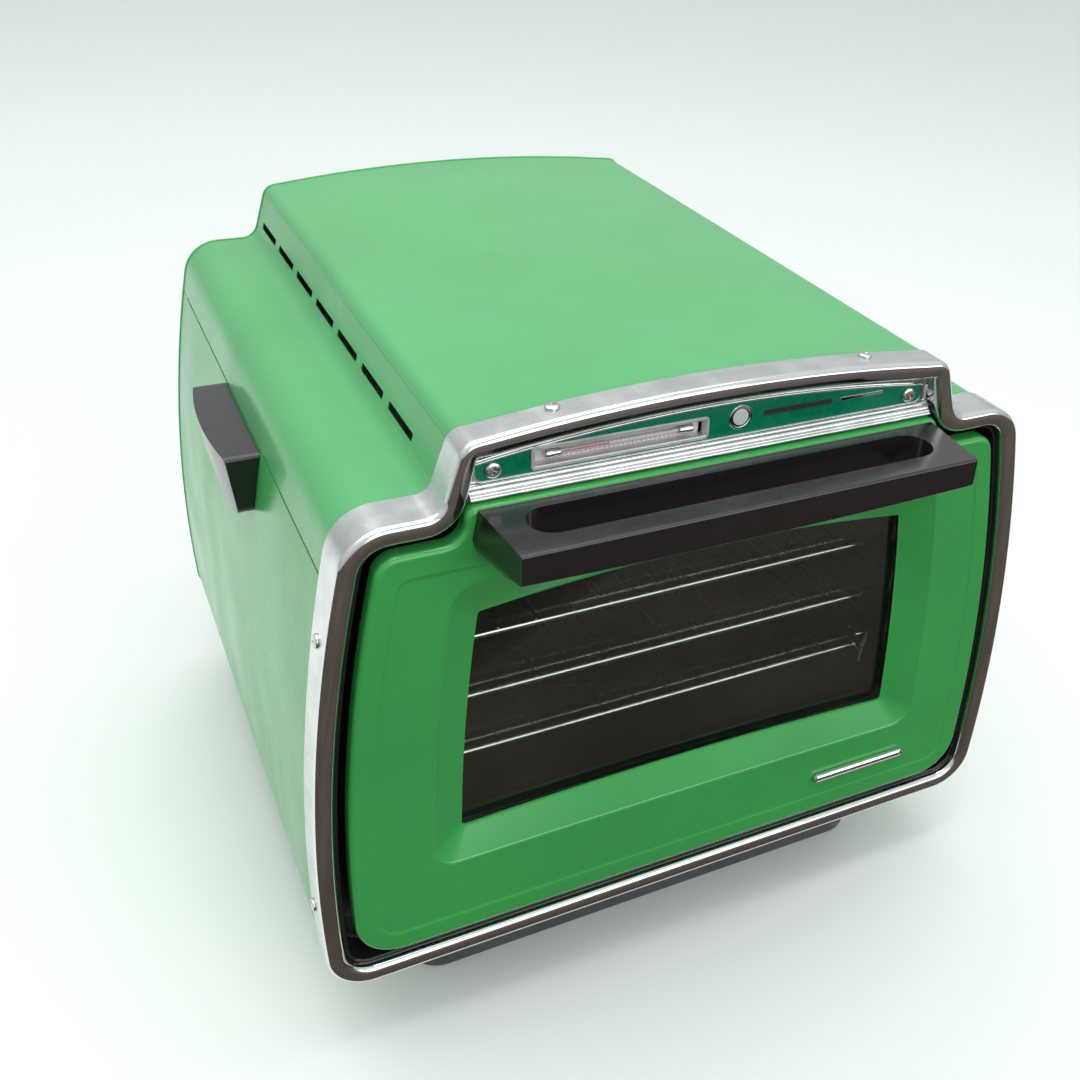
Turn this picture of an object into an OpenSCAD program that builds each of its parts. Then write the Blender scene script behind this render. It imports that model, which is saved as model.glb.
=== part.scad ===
// Stove-top oven: a domed sheet-metal oven that stands over a gas burner.
// Millimetres. X to the right seen from the front, Y into the depth, Z up.
// The origin is on the table, at the middle of the whole oven's footprint box.

/* [Body] */
// Width across the chrome front frame
body_w = 424; // [400:1:440]
// Depth from the front of the chrome frame to the back of the rear panel
body_d = 400; // [380:1:420]
// Height of the crown of the hump above the table
crown_z = 375; // [372:0.5:378]
// Height of the body's underside above the table
under_z = 54; // [50:0.5:58]
// Height of the two shoulders beside the hump
shoulder_z = 333.5; // [332:0.5:335]
// Height of the seam between the top cover and the side panels
seam_z = 300; // [296:1:306]
// Sheet thickness of covers, panels and liner
sheet = 0.6; // [0.5:0.1:1.2]

/* [Door] */
// Inset of the door's edge from the frame's outer edge
door_inset = 17; // [16.5:0.1:18]
// Height of the door's bottom edge
door_bottom = 71.5; // [71:0.5:73]
// Height of the door's top edge
door_top = 335; // [334:0.5:335.5]
// Half the width of the window at its widest
window_hw = 135.3; // [125:0.1:138]
// Height of the window's lower edge
window_bottom = 139; // [135:1:150]
// Height of the window's upper edge
window_top = 276; // [265:1:280]
// Opening angle of the door
door_swing = 90; // [80:1:90]

/* [Handles] */
// How far the door handle stands out from the frame
handle_out = 42; // [36:1:46]
// Half the length of the door handle where it meets the door
handle_hl = 124; // [120:1:126]
// Length of a carrying handle
carry_len = 96; // [90:1:104]

/* [Racks] */
// Wire diameter of a rack's outer frame
rack_wire = 4; // [3:0.5:4.5]
// Height of the lowest rack
rack_low = 168; // [164:1:169]
// Distance from one rack to the next
rack_pitch = 37; // [35:0.5:38]
// Wires that run from front to back in each rack
rack_bars = 13; // [9:2:17]

/* [Base] */
// Width of the base skirt
base_w = 312; // [300:1:320]
// Depth of the base skirt
base_d = 327; // [315:1:335]
// Radius of the burner opening
burner_r = 100; // [80:1:105]

/* [Vents] */
// Slots on each side of the hump
vent_count = 7; // [5:1:7]
// Length of one slot
vent_len = 38.5; // [34:0.5:43]
// Distance from one slot to the next
vent_pitch = 48.3; // [46:0.1:50]

/* [Hidden] */
$fn = 48;

front = -(body_d - handle_out)/2;   // Y of the chrome frame's front plane
mid_d = body_d/2;                   // depth of the body's middle, from that plane

// Body outline: barrel sides, rounded corners, a stepped hump with an arched crown
side_r = 860;                       // radius of the barrel sides
side_z = 112;                       // height where the body is widest
low_r = 22;                         // bottom corners
top_r = 25;                         // shoulder corners
foot_r = 10;                        // hollow at the foot of the hump
lip_r = 10;                         // upper corners of the hump
lean = 18;                          // lean of the hump's sides
crown_r = 1000;                     // radius of the crown
lip_x = 122;                        // centre of the hump's upper corner
side_x = body_w/2 - side_r;
low_z = under_z + low_r;
low_x = side_x + sqrt(pow(side_r - low_r, 2) - pow(low_z - side_z, 2));
low_a = atan2(low_z - side_z, low_x - side_x);
top_z = shoulder_z - top_r;
top_x = side_x + sqrt(pow(side_r - top_r, 2) - pow(top_z - side_z, 2));
top_a = atan2(top_z - side_z, top_x - side_x);
crown_c = crown_z - crown_r;
lip_z = crown_c + sqrt(pow(crown_r - lip_r, 2) - lip_x*lip_x);
lip_a = atan2(lip_z - crown_c, lip_x);
vent_r = 1.2;                       // corners of a vent slot
vent_h = 4.4;                       // height of a vent slot
vent_d = mid_d + 21;                // depth of the middle slot
foot_x = lip_x + (lip_r + foot_r - (shoulder_z + foot_r - lip_z)*sin(lean))/cos(lean);

// Door outline
door_r = 25;                        // bottom corners of the door
door_shoulder = shoulder_z - 15.5;  // height of the door's shoulders
neck_x = 129.5;                     // half width of the door's neck
bevel_hw = window_hw + 17;          // outer edge of the slope round the window
bevel_bottom = window_bottom - 16;
bevel_top = window_top + 21;

floor_z = under_z + 2.4;            // underside of the floor pan
base_t = 0.9;                       // sheet thickness of the base skirt

// Depths from the front plane
skin_d = 0.5;                       // door face
glass_d = 10.2;                     // front of the glass
door_back = 20;                     // back of the door
bulk_d = 22;                        // front of the bulkhead
liner_d = bulk_d + sheet + 0.05;    // mouth of the liner
liner_back = 350;
rear_d = body_d - 15;               // front edge of the back panel's rim
pivot_d = 4.5;                      // hinge axis
pivot_z = door_bottom + 4.5;
hinge_x = 160;

// Oven cavity
cav_hw = 149;
cav_z0 = 110;
cav_z1 = 296;

rack_front = 33;                    // centre of a rack's front wire
rack_back = 334;
rack_hw = 145.5;                    // centre of a rack's side wires

function arc(c, r, a0, a1, n, k0 = 0) = [for (k = [k0:n]) let (a = a0 + (a1 - a0)*k/n) c + r*[cos(a), sin(a)]];
function mirrored(p) = concat(p, [for (k = [len(p)-1:-1:0]) if (abs(p[k][0]) > 0.01) [-p[k][0], p[k][1]]]);

// Body outline, inset by i
function body(i) = mirrored(concat(
  [[0, under_z + i]],
  arc([low_x, low_z], low_r - i, -90, low_a, 6),
  arc([side_x, side_z], side_r - i, low_a, top_a, 8, 1),
  arc([top_x, top_z], top_r - i, top_a, 90, 6, 1),
  arc([foot_x, shoulder_z + foot_r], foot_r + i, 270, 180 + lean, 4),
  arc([lip_x, lip_z], max(lip_r - i*0.9, 0.5), lean, lip_a, 5),
  arc([0, crown_c], crown_r - i, lip_a, 90, 5, 1)));

// Shape with barrel sides and a flat top and bottom, inset by i (a negative i makes it larger)
function barrel(hw, r, z0, z1, rb, rt, i) =
  let (cx = hw - r, rr = r - i, b = max(rb - i, 0.5), t = max(rt - i, 0.5), zb = z0 + i + b, zt = z1 - i - t,
       xb = cx + sqrt(pow(rr - b, 2) - pow(zb - side_z, 2)), ab = atan2(zb - side_z, xb - cx),
       xt = cx + sqrt(pow(rr - t, 2) - pow(zt - side_z, 2)), at = atan2(zt - side_z, xt - cx))
  mirrored(concat(arc([xb, zb], b, -90, ab, 4), arc([cx, side_z], rr, ab, at, 5, 1),
    arc([xt, zt], t, at, 90, 4, 1)));

function window(i) = barrel(window_hw, 1100, window_bottom, window_top, 5, 5, i);
function bevel(i) = barrel(bevel_hw, 1100, bevel_bottom, bevel_top, 14, 18, i);

// Door outline, inset by i
function door(i) =
  let (rr = side_r - door_inset - i, rs = 12 - i*0.5, rb = door_r - i,
       zb = door_bottom + door_r, zt = door_shoulder - i - rs,
       xb = side_x + sqrt(pow(rr - rb, 2) - pow(zb - side_z, 2)), ab = atan2(zb - side_z, xb - side_x),
       xt = side_x + sqrt(pow(rr - rs, 2) - pow(zt - side_z, 2)), at = atan2(zt - side_z, xt - side_x))
  mirrored(concat(
    [[0, door_bottom + i]],
    arc([xb, zb], rb, -90, ab, 6),
    arc([side_x, side_z], rr, ab, at, 7, 1),
    arc([xt, zt], rs, at, 90, 4, 1),
    arc([neck_x + 10, door_shoulder + 10], 10 + i, 270, 180, 4),
    arc([neck_x - 6, door_top - 6], 6 - i*0.45, 0, 90, 4)));

// A sheet of the given outline, from depth d0 to depth d1
module slab(points, d0, d1) {
  translate([0, front + d1, 0]) rotate([90, 0, 0]) linear_extrude(d1 - d0) polygon(points);
}
module ring(outer, inner, d0, d1) {
  difference() { slab(outer, d0, d1); slab(inner, d0 - 1, d1 + 1); }
}
// A block given by its lowest and highest x, depth and z
module block(x0, x1, d0, d1, z0, z1) {
  translate([x0, front + d0, z0]) cube([x1 - x0, d1 - d0, z1 - z0]);
}
// A rod along Y or along X
module rod_y(x, z, d0, d1, r) { translate([x, front + d1, z]) rotate([90, 0, 0]) cylinder(h = d1 - d0, r = r); }
module rod_x(x0, x1, d, z, r) { translate([x0, front + d, z]) rotate([0, 90, 0]) cylinder(h = x1 - x0, r = r); }
module both() { children(); mirror([1, 0, 0]) children(); }

// Places on the outline at depth d, with local Z pointing out of the surface
module outline_spots(d) {
  both() {
    translate([0, front + d, crown_c]) rotate([0, asin(84/crown_r), 0]) translate([0, 0, crown_r]) children();
    for (z = [275, 112]) let (a = asin((z - side_z)/side_r))
      translate([side_x, front + d, side_z]) rotate([0, 90 - a, 0]) translate([0, 0, side_r]) children();
  }
}
// Pan-head screw: underside of the head on Z = 0, shank below
module pan_screw(r = 3.6, shank = 7) {
  difference() {
    union() {
      cylinder(h = 1.2, r = r);
      translate([0, 0, 1.1]) cylinder(h = 0.7, r1 = r - 0.1, r2 = r - 1.3);
    }
    for (a = [0, 90]) rotate([0, 0, a]) translate([-r*0.6, -0.45, 1]) cube([r*1.2, 0.9, 2]);
  }
  translate([0, 0, -shank]) cylinder(h = shank + 0.1, r = 1.5);
}
module screw_hole() { translate([0, 0, -12]) cylinder(h = 16, r = 1.55); }

// ---- Casing -----------------------------------------------------------------
module vents() {
  first = vent_d - (vent_count - 1)*vent_pitch/2;
  h = vent_h/2;
  both() for (k = [0:vent_count-1])
    translate([foot_x - foot_r, front + first + k*vent_pitch, shoulder_z + 11.4]) rotate([0, -lean, 0]) {
      translate([-14, -vent_len/2 + vent_r, -h]) cube([28, vent_len - 2*vent_r, vent_h]);
      translate([-14, -vent_len/2, -h + vent_r]) cube([28, vent_len, vent_h - 2*vent_r]);
      for (sy = [-1, 1], sz = [-1, 1]) translate([-14, sy*(vent_len/2 - vent_r), sz*(h - vent_r)])
        rotate([0, 90, 0]) cylinder(h = 28, r = vent_r);
    }
}
module top_cover() {
  color([0.42, 0.78, 0.47]) difference() {
    intersection() {
      ring(body(1.3), body(1.3 + sheet), 4, body_d - sheet - 0.05);
      block(-250, 250, 0, body_d, seam_z + 0.4, crown_z + 5);
    }
    vents();
    outline_spots(13) screw_hole();
  }
}
module side_panel() {
  color([0.36, 0.70, 0.42]) difference() {
    intersection() {
      ring(body(1.3), body(1.3 + sheet), 4, body_d - sheet - 0.05);
      block(base_w/2 + 2, 250, 0, body_d, under_z - 2, seam_z - 0.4);
    }
    outline_spots(13) screw_hole();
    carry_spots() rotate([0, 90, 0]) translate([0, 0, 150]) cylinder(h = 70, r = 2.05);
  }
}
module right_side_panel() { side_panel(); }
module left_side_panel() { mirror([1, 0, 0]) side_panel(); }
module seam_rail() {
  color([0.12, 0.13, 0.12]) intersection() {
    ring(body(1.4 + sheet), body(2.6 + sheet), 24, rear_d - 1);
    block(100, 250, 0, body_d, seam_z - 10, seam_z + 9);
  }
}
module seam_rail_right() { seam_rail(); }
module seam_rail_left() { mirror([1, 0, 0]) seam_rail(); }
// Places of the back panel's screws, with local Z pointing out of the back
module rear_spots() {
  both() for (p = [[60, crown_z - 14], [178, shoulder_z - 34], [194, 180], [150, under_z + 14]])
    translate([p[0], front + body_d, p[1]]) rotate([-90, 0, 0]) children();
}
module rear_panel() {
  color([0.33, 0.66, 0.39]) difference() {
    union() {
      ring(body(1.4 + sheet), body(1.4 + 2*sheet), rear_d, body_d - sheet/2);
      slab(body(1.2), body_d - sheet, body_d);
    }
    for (k = [-3:3]) {
      block(k*24 - 8, k*24 + 8, body_d - 3, body_d + 2, 318, 322);
      for (s = [-8, 8]) rod_y(k*24 + s, 320, body_d - 3, body_d + 2, 2);
    }
    rear_spots() screw_hole();
  }
}
module floor_spots() {
  both() for (s = [-1, 1])
    translate([base_w/2 - 22, front + mid_d + s*(base_d/2 - 9), 0]) children();
}
module floor_pan() {
  color([0.16, 0.17, 0.17]) difference() {
    block(-low_x, low_x, liner_d, rear_d - 1, floor_z, floor_z + sheet);
    translate([0, front + mid_d, 0]) cylinder(h = 100, r = burner_r);
    floor_spots() cylinder(h = 100, r = 2.05);
  }
}
module plate_shape(w, d, r, z0, z1) {
  translate([0, front + mid_d, z0]) linear_extrude(z1 - z0) union() {
    square([w - 2*r, d], center = true);
    square([w, d - 2*r], center = true);
    for (sx = [-1, 1], sy = [-1, 1]) translate([sx*(w/2 - r), sy*(d/2 - r)]) circle(r = r);
  }
}
module base_skirt() {
  color([0.25, 0.28, 0.27]) difference() {
    plate_shape(base_w, base_d, 20, 0, floor_z - 0.05);
    plate_shape(base_w - 2*base_t, base_d - 2*base_t, 20 - base_t, base_t, floor_z - 0.05 - base_t);
    plate_shape(base_w - 20, base_d - 20, 14, -1, 5);
    plate_shape(base_w - 36, base_d - 36, 14, under_z, under_z + 5);
    floor_spots() cylinder(h = 100, r = 2.05);
  }
}
module base_screws() {
  color([0.6, 0.6, 0.58]) floor_spots() {
    translate([0, 0, under_z - 1]) cylinder(h = 2.2, r = 4);
    translate([0, 0, under_z + 1]) cylinder(h = 6, r = 2);
  }
}

// ---- Oven -------------------------------------------------------------------
module heat_funnel() {
  z0 = floor_z + sheet + 0.05;
  color([0.30, 0.30, 0.31]) translate([0, front + mid_d, 0]) rotate_extrude(angle = 360, $fn = 72)
    polygon([[burner_r + 3, z0], [burner_r + 12, z0], [burner_r + 12, z0 + sheet],
      [burner_r + 3 + sheet, z0 + sheet], [78 + sheet, cav_z0 - sheet - 0.1], [78, cav_z0 - sheet - 0.1]]);
}
module oven_liner() {
  color([0.20, 0.19, 0.19]) difference() {
    union() {
      difference() {
        block(-cav_hw - sheet, cav_hw + sheet, liner_d, liner_back + sheet, cav_z0 - sheet, cav_z1 + sheet);
        block(-cav_hw, cav_hw, liner_d - 1, liner_back, cav_z0, cav_z1);
      }
      // pressed ledges that carry and guide the racks
      for (k = [0:2], s = [-1, 1]) let (z = rack_low + k*rack_pitch) {
        ledge(s, z - rack_wire/2 - 5.3);
        if (k < 2) ledge(s, z + rack_wire/2 + 6.5);
      }
    }
    translate([0, front + mid_d, cav_z0 - 5]) cylinder(h = 10, r = 76);
    translate([-15, front + 42, cav_z1 - 5]) cylinder(h = 10, r = 3.3);
    for (k = [-2:2]) rod_z(k*40, 310, cav_z1 - 5, cav_z1 + 5, 8);
  }
}
module rod_z(x, d, z0, z1, r) { translate([x, front + d, z0]) cylinder(h = z1 - z0, r = r); }
module ledge(s, z) {
  intersection() {
    rod_y(s*cav_hw, z, 30, liner_back - 5, 5);
    block(-cav_hw - sheet, cav_hw + sheet, liner_d, liner_back, cav_z0, cav_z1);
  }
}
module flame_spreader() {
  color([0.33, 0.32, 0.31]) {
    difference() {
      translate([0, front + mid_d, cav_z0 + 14]) cylinder(h = 0.8, r = 92);
      for (a = [0:45:359]) translate([62*cos(a), front + mid_d + 62*sin(a), cav_z0]) cylinder(h = 30, r = 6);
    }
    for (a = [22.5:90:359])
      translate([86*cos(a), front + mid_d + 86*sin(a), cav_z0 + 0.05]) cylinder(h = 14, r = 3);
  }
}
module heat_shield() {
  color([0.62, 0.63, 0.63]) {
    z0 = cav_z1 + sheet + 0.05;
    block(-110, 110, 60, liner_back, 338, 338 + sheet);
    both() {
      block(110 - sheet/2, 110 + sheet/2, 60, liner_back, z0, 338 + sheet);
      block(110, 122, 60, liner_back, z0, z0 + sheet);
    }
  }
}
module mouth(i, d0, d1) {
  hw = cav_hw - i; z0 = cav_z0 + i; z1 = cav_z1 - i; r = 6;
  block(-hw + r, hw - r, d0, d1, z0, z1);
  block(-hw, hw, d0, d1, z0 + r, z1 - r);
  for (sx = [-1, 1], z = [z0 + r, z1 - r]) rod_y(sx*(hw - r), z, d0, d1, r);
}
module front_bulkhead() {
  color([0.09, 0.10, 0.10]) difference() {
    union() {
      slab(body(3.4), bulk_d, bulk_d + sheet);
      intersection() {
        ring(body(10.5), body(11.4), 5.5, bulk_d + sheet/2);
        block(-250, 250, 0, bulk_d + 5, under_z, door_top + 1);
      }
      ring(body(1.5 + sheet), body(11.4), bulk_d - 0.6, bulk_d + sheet/2);
    }
    mouth(0, bulk_d - 5, bulk_d + 5);
    rod_y(-15, 348, bulk_d - 5, bulk_d + 5, 3.2);
  }
}
module door_gasket() {
  color([0.75, 0.73, 0.68]) difference() {
    mouth(-7, door_back + 0.15, bulk_d - 0.02);
    mouth(-1, door_back - 1, bulk_d + 1);
  }
}

// ---- Front frame and fascia ---------------------------------------------------
// Plan of the frame's band: its depth for each half width
band_plan = [[0, -5], [260, -5], [260, 20], [205, 20], [192, 23], [180, 25], [148, 24.5], [136, 21.5],
  [122, 17], [0, 17]];
module front_frame() {
  color([0.83, 0.84, 0.85]) difference() {
    union() {
      // the band reaches further back over the shoulders than over the hump
      intersection() {
        ring(body(0), body(1.2), 3, 30);
        translate([0, front, 0]) linear_extrude(crown_z + 5) polygon(mirrored(band_plan));
      }
      ring(body(0.4), body(2.6), 1.3, 3.3);
      ring(body(1.4), body(6.6), 0, 1.6);
      ring(body(5.8), body(8.4), 0.8, 4);
      ring(body(7.8), body(9.7), 2.6, 7);
      ring(body(9.3), body(10.4), 5.5, 12);
    }
    outline_spots(13) screw_hole();
  }
}
module frame_screws() { color([0.78, 0.78, 0.77]) outline_spots(13) pan_screw(); }
module rear_screws() { color([0.78, 0.78, 0.77]) rear_spots() pan_screw(); }

fascia_z0 = door_top + 8.4;         // lower edge of the name plate
fascia_top = fascia_z0 + 16.8;      // top of its arch
fascia_hw = 122.6;                  // half its width
module fascia_shape(i, d0, d1) {
  r = 5 - i;
  arch = 860 - i;
  intersection() {
    union() {
      block(-fascia_hw + i + r, fascia_hw - i - r, d0, d1, fascia_z0 + i, fascia_top);
      block(-fascia_hw + i, fascia_hw - i, d0, d1, fascia_z0 + i + r, fascia_z0 + 6.4);
      for (s = [-1, 1]) {
        rod_y(s*(fascia_hw - i - r), fascia_z0 + i + r, d0, d1, r);
        rod_y(s*(fascia_hw - i - r), fascia_z0 + 6.4 - i*0.3, d0, d1, r);
      }
    }
    translate([0, front + d1, fascia_top - 860]) rotate([90, 0, 0]) cylinder(h = d1 - d0, r = arch, $fn = 240);
  }
}
module fascia_spots() { both() translate([113.3, front + 10, fascia_z0 + 3.8]) rotate([90, 0, 0]) children(); }
thermo_x = -49.8;                   // middle of the thermometer window
thermo_z = fascia_z0 + 5.8;
module thermo_slot(i, d0, d1) {
  hw = 45.5 - i; hh = 5.9 - i; r = 2.2;
  block(thermo_x - hw + r, thermo_x + hw - r, d0, d1, thermo_z - hh, thermo_z + hh);
  block(thermo_x - hw, thermo_x + hw, d0, d1, thermo_z - hh + r, thermo_z + hh - r);
  for (sx = [-1, 1], sz = [-1, 1]) rod_y(thermo_x + sx*(hw - r), thermo_z + sz*(hh - r), d0, d1, r);
}
module fascia_carrier() {
  color([0.55, 0.56, 0.56]) difference() {
    union() {
      intersection() {
        slab(body(10.55), 11.3, 12.3);
        block(-140, 140, 0, 30, door_top + 1.4, 400);
      }
      block(-126, 126, 7.8, bulk_d - 0.7, door_top + 1.4, door_top + 2.2);
    }
    thermo_slot(1.6, 5, 20);
    fascia_spots() screw_hole();
  }
}
module fascia_plate() {
  color([0.0, 0.43, 0.28]) difference() {
    fascia_shape(0, 10, 11.2);
    thermo_slot(1.6, 5, 20);
    fascia_spots() screw_hole();
  }
}
module fascia_ring() {
  color([0.75, 0.78, 0.78]) difference() {
    rod_y(13, fascia_z0 + 8, 9.5, 9.98, 6.4);
    rod_y(13, fascia_z0 + 8, 9, 11, 4.6);
  }
}
module fascia_screws() { color([0.80, 0.80, 0.79]) fascia_spots() pan_screw(3.9, 5); }
strip_hl = 125.5;                     // half length of the ribbed strip
module trim_strip() {
  color([0.80, 0.81, 0.82]) {
    translate([-strip_hl, front, 0]) rotate([90, 0, 90]) linear_extrude(2*strip_hl)
      polygon([[4.4, door_top + 1.2], [6.8, door_top + 1.2], [10, door_top + 8.2], [8.8, door_top + 8.2]]);
    for (k = [0:3]) rod_x(-strip_hl, strip_hl, 5.4 + k*1.1, door_top + 2.1 + k*1.75, 0.85);
  }
}
module thermometer_frame() {
  color([0.78, 0.79, 0.80]) difference() {
    thermo_slot(0, 9.2, 9.98);
    thermo_slot(1.9, 8, 12);
  }
}
module thermometer_scale() {
  color([0.80, 0.74, 0.74])
    block(thermo_x - 42, thermo_x + 42, 14.2, 14.9, thermo_z - 3.9, thermo_z + 3.9);
}
module thermometer_tube() {
  color([0.86, 0.90, 0.90, 0.5]) rod_x(thermo_x - 37, thermo_x + 37, 12.4, thermo_z, 1.4);
}
module thermometer_clips() {
  color([0.85, 0.85, 0.84]) for (s = [-1, 1]) difference() {
    rod_x(thermo_x + s*34 - 2.5, thermo_x + s*34 + 2.5, 12.4, thermo_z, 2.6);
    rod_x(thermo_x + s*34 - 6, thermo_x + s*34 + 6, 12.4, thermo_z, 1.42);
    block(thermo_x - 50, thermo_x + 50, 14.15, 20, thermo_z - 5, thermo_z + 5);
  }
}
module thermometer_stem() {
  color([0.70, 0.62, 0.45]) {
    rod_y(-15, 348, 15, 42, 3);
    translate([-15, front + 42, 348]) sphere(r = 3);
    rod_z(-15, 42, 270, 348, 3);
  }
}

// ---- Carrying handles --------------------------------------------------------
carry_d = 199;                      // depth of their middle
carry_z0 = seam_z - 35.5;           // underside of their feet
carry_z1 = seam_z - 0.5;
carry_x = body_w/2 + 1;             // middle of their outer face
module carry_spots() {
  for (s = [-1, 1]) translate([0, front + carry_d + s*(carry_len/2 - 8), seam_z - 18]) children();
}
module carry_handle() {
  bow_r = 260;
  color([0.10, 0.10, 0.11]) difference() {
    intersection() {
      difference() {
        block(150, 250, carry_d - carry_len/2, carry_d + carry_len/2, carry_z0, carry_z1);
        slab(body(1.25), 0, body_d);
      }
      // bowed outer face, leaning in towards the bottom
      translate([carry_x, front + carry_d, carry_z1]) rotate([0, 6, 0])
        translate([-bow_r, 0, -60]) cylinder(h = 80, r = bow_r, $fn = 200);
    }
    // finger space, open below
    block(150, carry_x - 9.3, carry_d - 31, carry_d + 31, carry_z0 - 5, carry_z1 - 8);
    translate([150, front + carry_d, carry_z0 - 14]) rotate([0, 90, 0]) cylinder(h = 100, r = 31);
    carry_spots() rotate([0, 90, 0]) translate([0, 0, 150]) cylinder(h = 54, r = 2.05);
  }
}
module carry_handle_right() { carry_handle(); }
module carry_handle_left() { mirror([1, 0, 0]) carry_handle(); }
module carry_handle_screws() {
  color([0.6, 0.6, 0.58]) both() carry_spots() rotate([0, 90, 0]) {
    translate([0, 0, 188]) cylinder(h = 15.5, r = 2);
    translate([0, 0, 186]) cylinder(h = 2.2, r = 4);
  }
}

// ---- Hinges -------------------------------------------------------------------
module hinge_bracket() {
  color([0.35, 0.35, 0.35]) difference() {
    union() {
      block(hinge_x - 6, hinge_x + 6, pivot_d, bulk_d - 0.05, pivot_z - 2.5, pivot_z + 2.5);
      rod_x(hinge_x - 6, hinge_x + 6, pivot_d, pivot_z, 2.5);
      block(hinge_x - 12, hinge_x + 12, bulk_d - 1.4, bulk_d - 0.05, pivot_z - 10.5, pivot_z + 2.5);
    }
    rod_x(hinge_x - 20, hinge_x + 20, pivot_d, pivot_z, 1.5);
  }
}
module hinge_pin() { color([0.7, 0.7, 0.7]) rod_x(hinge_x - 9.4, hinge_x + 9.4, pivot_d, pivot_z, 1.5); }
module hinge_leaf() {
  color([0.35, 0.35, 0.35]) difference() {
    union() {
      for (s = [-1, 1]) {
        rod_x(hinge_x + s*7.9 - 1, hinge_x + s*7.9 + 1, pivot_d, pivot_z, 2.9);
        block(hinge_x + s*7.9 - 1, hinge_x + s*7.9 + 1, skin_d + 1.05, pivot_d + 2.5, pivot_z, pivot_z + 22);
      }
      block(hinge_x - 8.9, hinge_x + 8.9, skin_d + 1.05, skin_d + 2, pivot_z + 5, pivot_z + 22);
    }
    rod_x(hinge_x - 20, hinge_x + 20, pivot_d, pivot_z, 1.55);
  }
}
module hinge_bracket_right() { hinge_bracket(); }
module hinge_bracket_left() { mirror([1, 0, 0]) hinge_bracket(); }
module hinge_pin_right() { hinge_pin(); }
module hinge_pin_left() { mirror([1, 0, 0]) hinge_pin(); }
module hinge_leaf_right() { hinge_leaf(); }
module hinge_leaf_left() { mirror([1, 0, 0]) hinge_leaf(); }

// ---- Door -----------------------------------------------------------------------
handle_spot_z = door_top - 14;
module handle_spots() { both() translate([112, front, handle_spot_z]) rotate([90, 0, 0]) children(); }
module hinge_gap() {
  both() block(hinge_x - 10, hinge_x + 10, skin_d + 1, 30, door_bottom - 1, door_bottom + 9.5);
}
// Funnel of the slope that falls from the door face to the window
module bevel_funnel(i, d0, d1) {
  hull() {
    slab(bevel(i), skin_d + d0 - 0.05, skin_d + d0 + 0.05);
    slab(window(i), skin_d + d1 - 0.05, skin_d + d1 + 0.05);
  }
}
module door_outer() {
  color([0.21, 0.53, 0.26]) difference() {
    union() {
      difference() {
        slab(door(0), skin_d, skin_d + 1);
        slab(bevel(-0.4), 0, 5);
      }
      ring(door(0), door(1), skin_d, 9);
      difference() {
        bevel_funnel(-1, 0.2, 9.5);
        bevel_funnel(0, -0.3, 9.8);
      }
    }
    hinge_gap();
    handle_spots() translate([0, 0, -20]) cylinder(h = 40, r = 2.05);
  }
}
module door_inner() {
  color([0.13, 0.14, 0.14]) difference() {
    union() {
      ring(door(1.1), door(11), 8, 9);
      ring(door(10), door(11), 8.5, door_back);
      slab(door(10), door_back - 1, door_back);
    }
    slab(window(-2), 0, 30);
    hinge_gap();
  }
}
module door_glass() { color([0.75, 0.82, 0.80, 0.35]) slab(window(-6), glass_d, glass_d + 4); }
module glass_retainer() {
  color([0.45, 0.46, 0.46]) {
    ring(window(-10), window(-6.3), glass_d, glass_d + 4.4);
    ring(window(-10), window(-0.5), glass_d + 4.1, glass_d + 5.4);
    for (x = [-90, 0, 90]) block(x - 8, x + 8, glass_d + 5.3, door_back - 1.05, window_top + 4, window_top + 9);
    for (x = [-90, 0, 90])
      block(x - 8, x + 8, glass_d + 5.3, door_back - 1.05, window_bottom - 9, window_bottom - 4);
  }
}
module door_handle() {
  z1 = door_top - 1;
  f = -handle_out;
  wide = handle_hl + 3;
  color([0.11, 0.10, 0.10]) difference() {
    intersection() {
      // side profile
      translate([-wide - 5, front, 0]) rotate([90, 0, 90]) linear_extrude(2*wide + 10)
        polygon([[skin_d - 0.05, z1], [f + 1.5, z1], [f + 0.5, z1 - 1], [f, z1 - 14.5], [f + 3, z1 - 16.2],
          [f + 20, z1 - 22], [f + 34, z1 - 24.8], [skin_d - 0.05, z1 - 26]]);
      // plan: the ends draw in towards the front
      translate([0, front, z1 - 40]) linear_extrude(60)
        polygon([[-wide, 2], [wide, 2], [wide - 7.2, f - 1], [7.2 - wide, f - 1]]);
      // front view: the ends flare towards the bottom, and their lower corners are rounded
      translate([0, front + 5, 0]) rotate([90, 0, 0]) linear_extrude(60) union() {
        polygon([[-handle_hl, z1 + 1], [handle_hl, z1 + 1], [wide, z1 - 13], [wide, z1 - 14], [-wide, z1 - 14],
          [-wide, z1 - 13]]);
        translate([12 - wide, z1 - 27]) square([2*wide - 24, 20]);
        for (s = [-1, 1]) translate([s*(wide - 12), z1 - 14]) circle(r = 12);
      }
    }
    // slot for the fingers
    translate([0, front - 17.8, z1 - 40]) linear_extrude(60) union() {
      square([201.5, 14.5], center = true);
      for (s = [-1, 1]) translate([s*100.75, 0]) circle(r = 7.25);
    }
    handle_spots() translate([0, 0, -2]) cylinder(h = 12, r = 2.05);
  }
}
module handle_screws() {
  color([0.6, 0.6, 0.58]) handle_spots() {
    translate([0, 0, -skin_d - 3.2]) cylinder(h = 2.15, r = 4);
    translate([0, 0, -skin_d - 1.2]) cylinder(h = 10, r = 2);
  }
}
module door_badge() {
  color([0.85, 0.85, 0.86]) {
    block(88, 148, skin_d - 2.4, skin_d - 0.03, 97, 103);
    for (x = [88, 148]) rod_y(x, 100, skin_d - 2.4, skin_d - 0.03, 3);
  }
}

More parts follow.
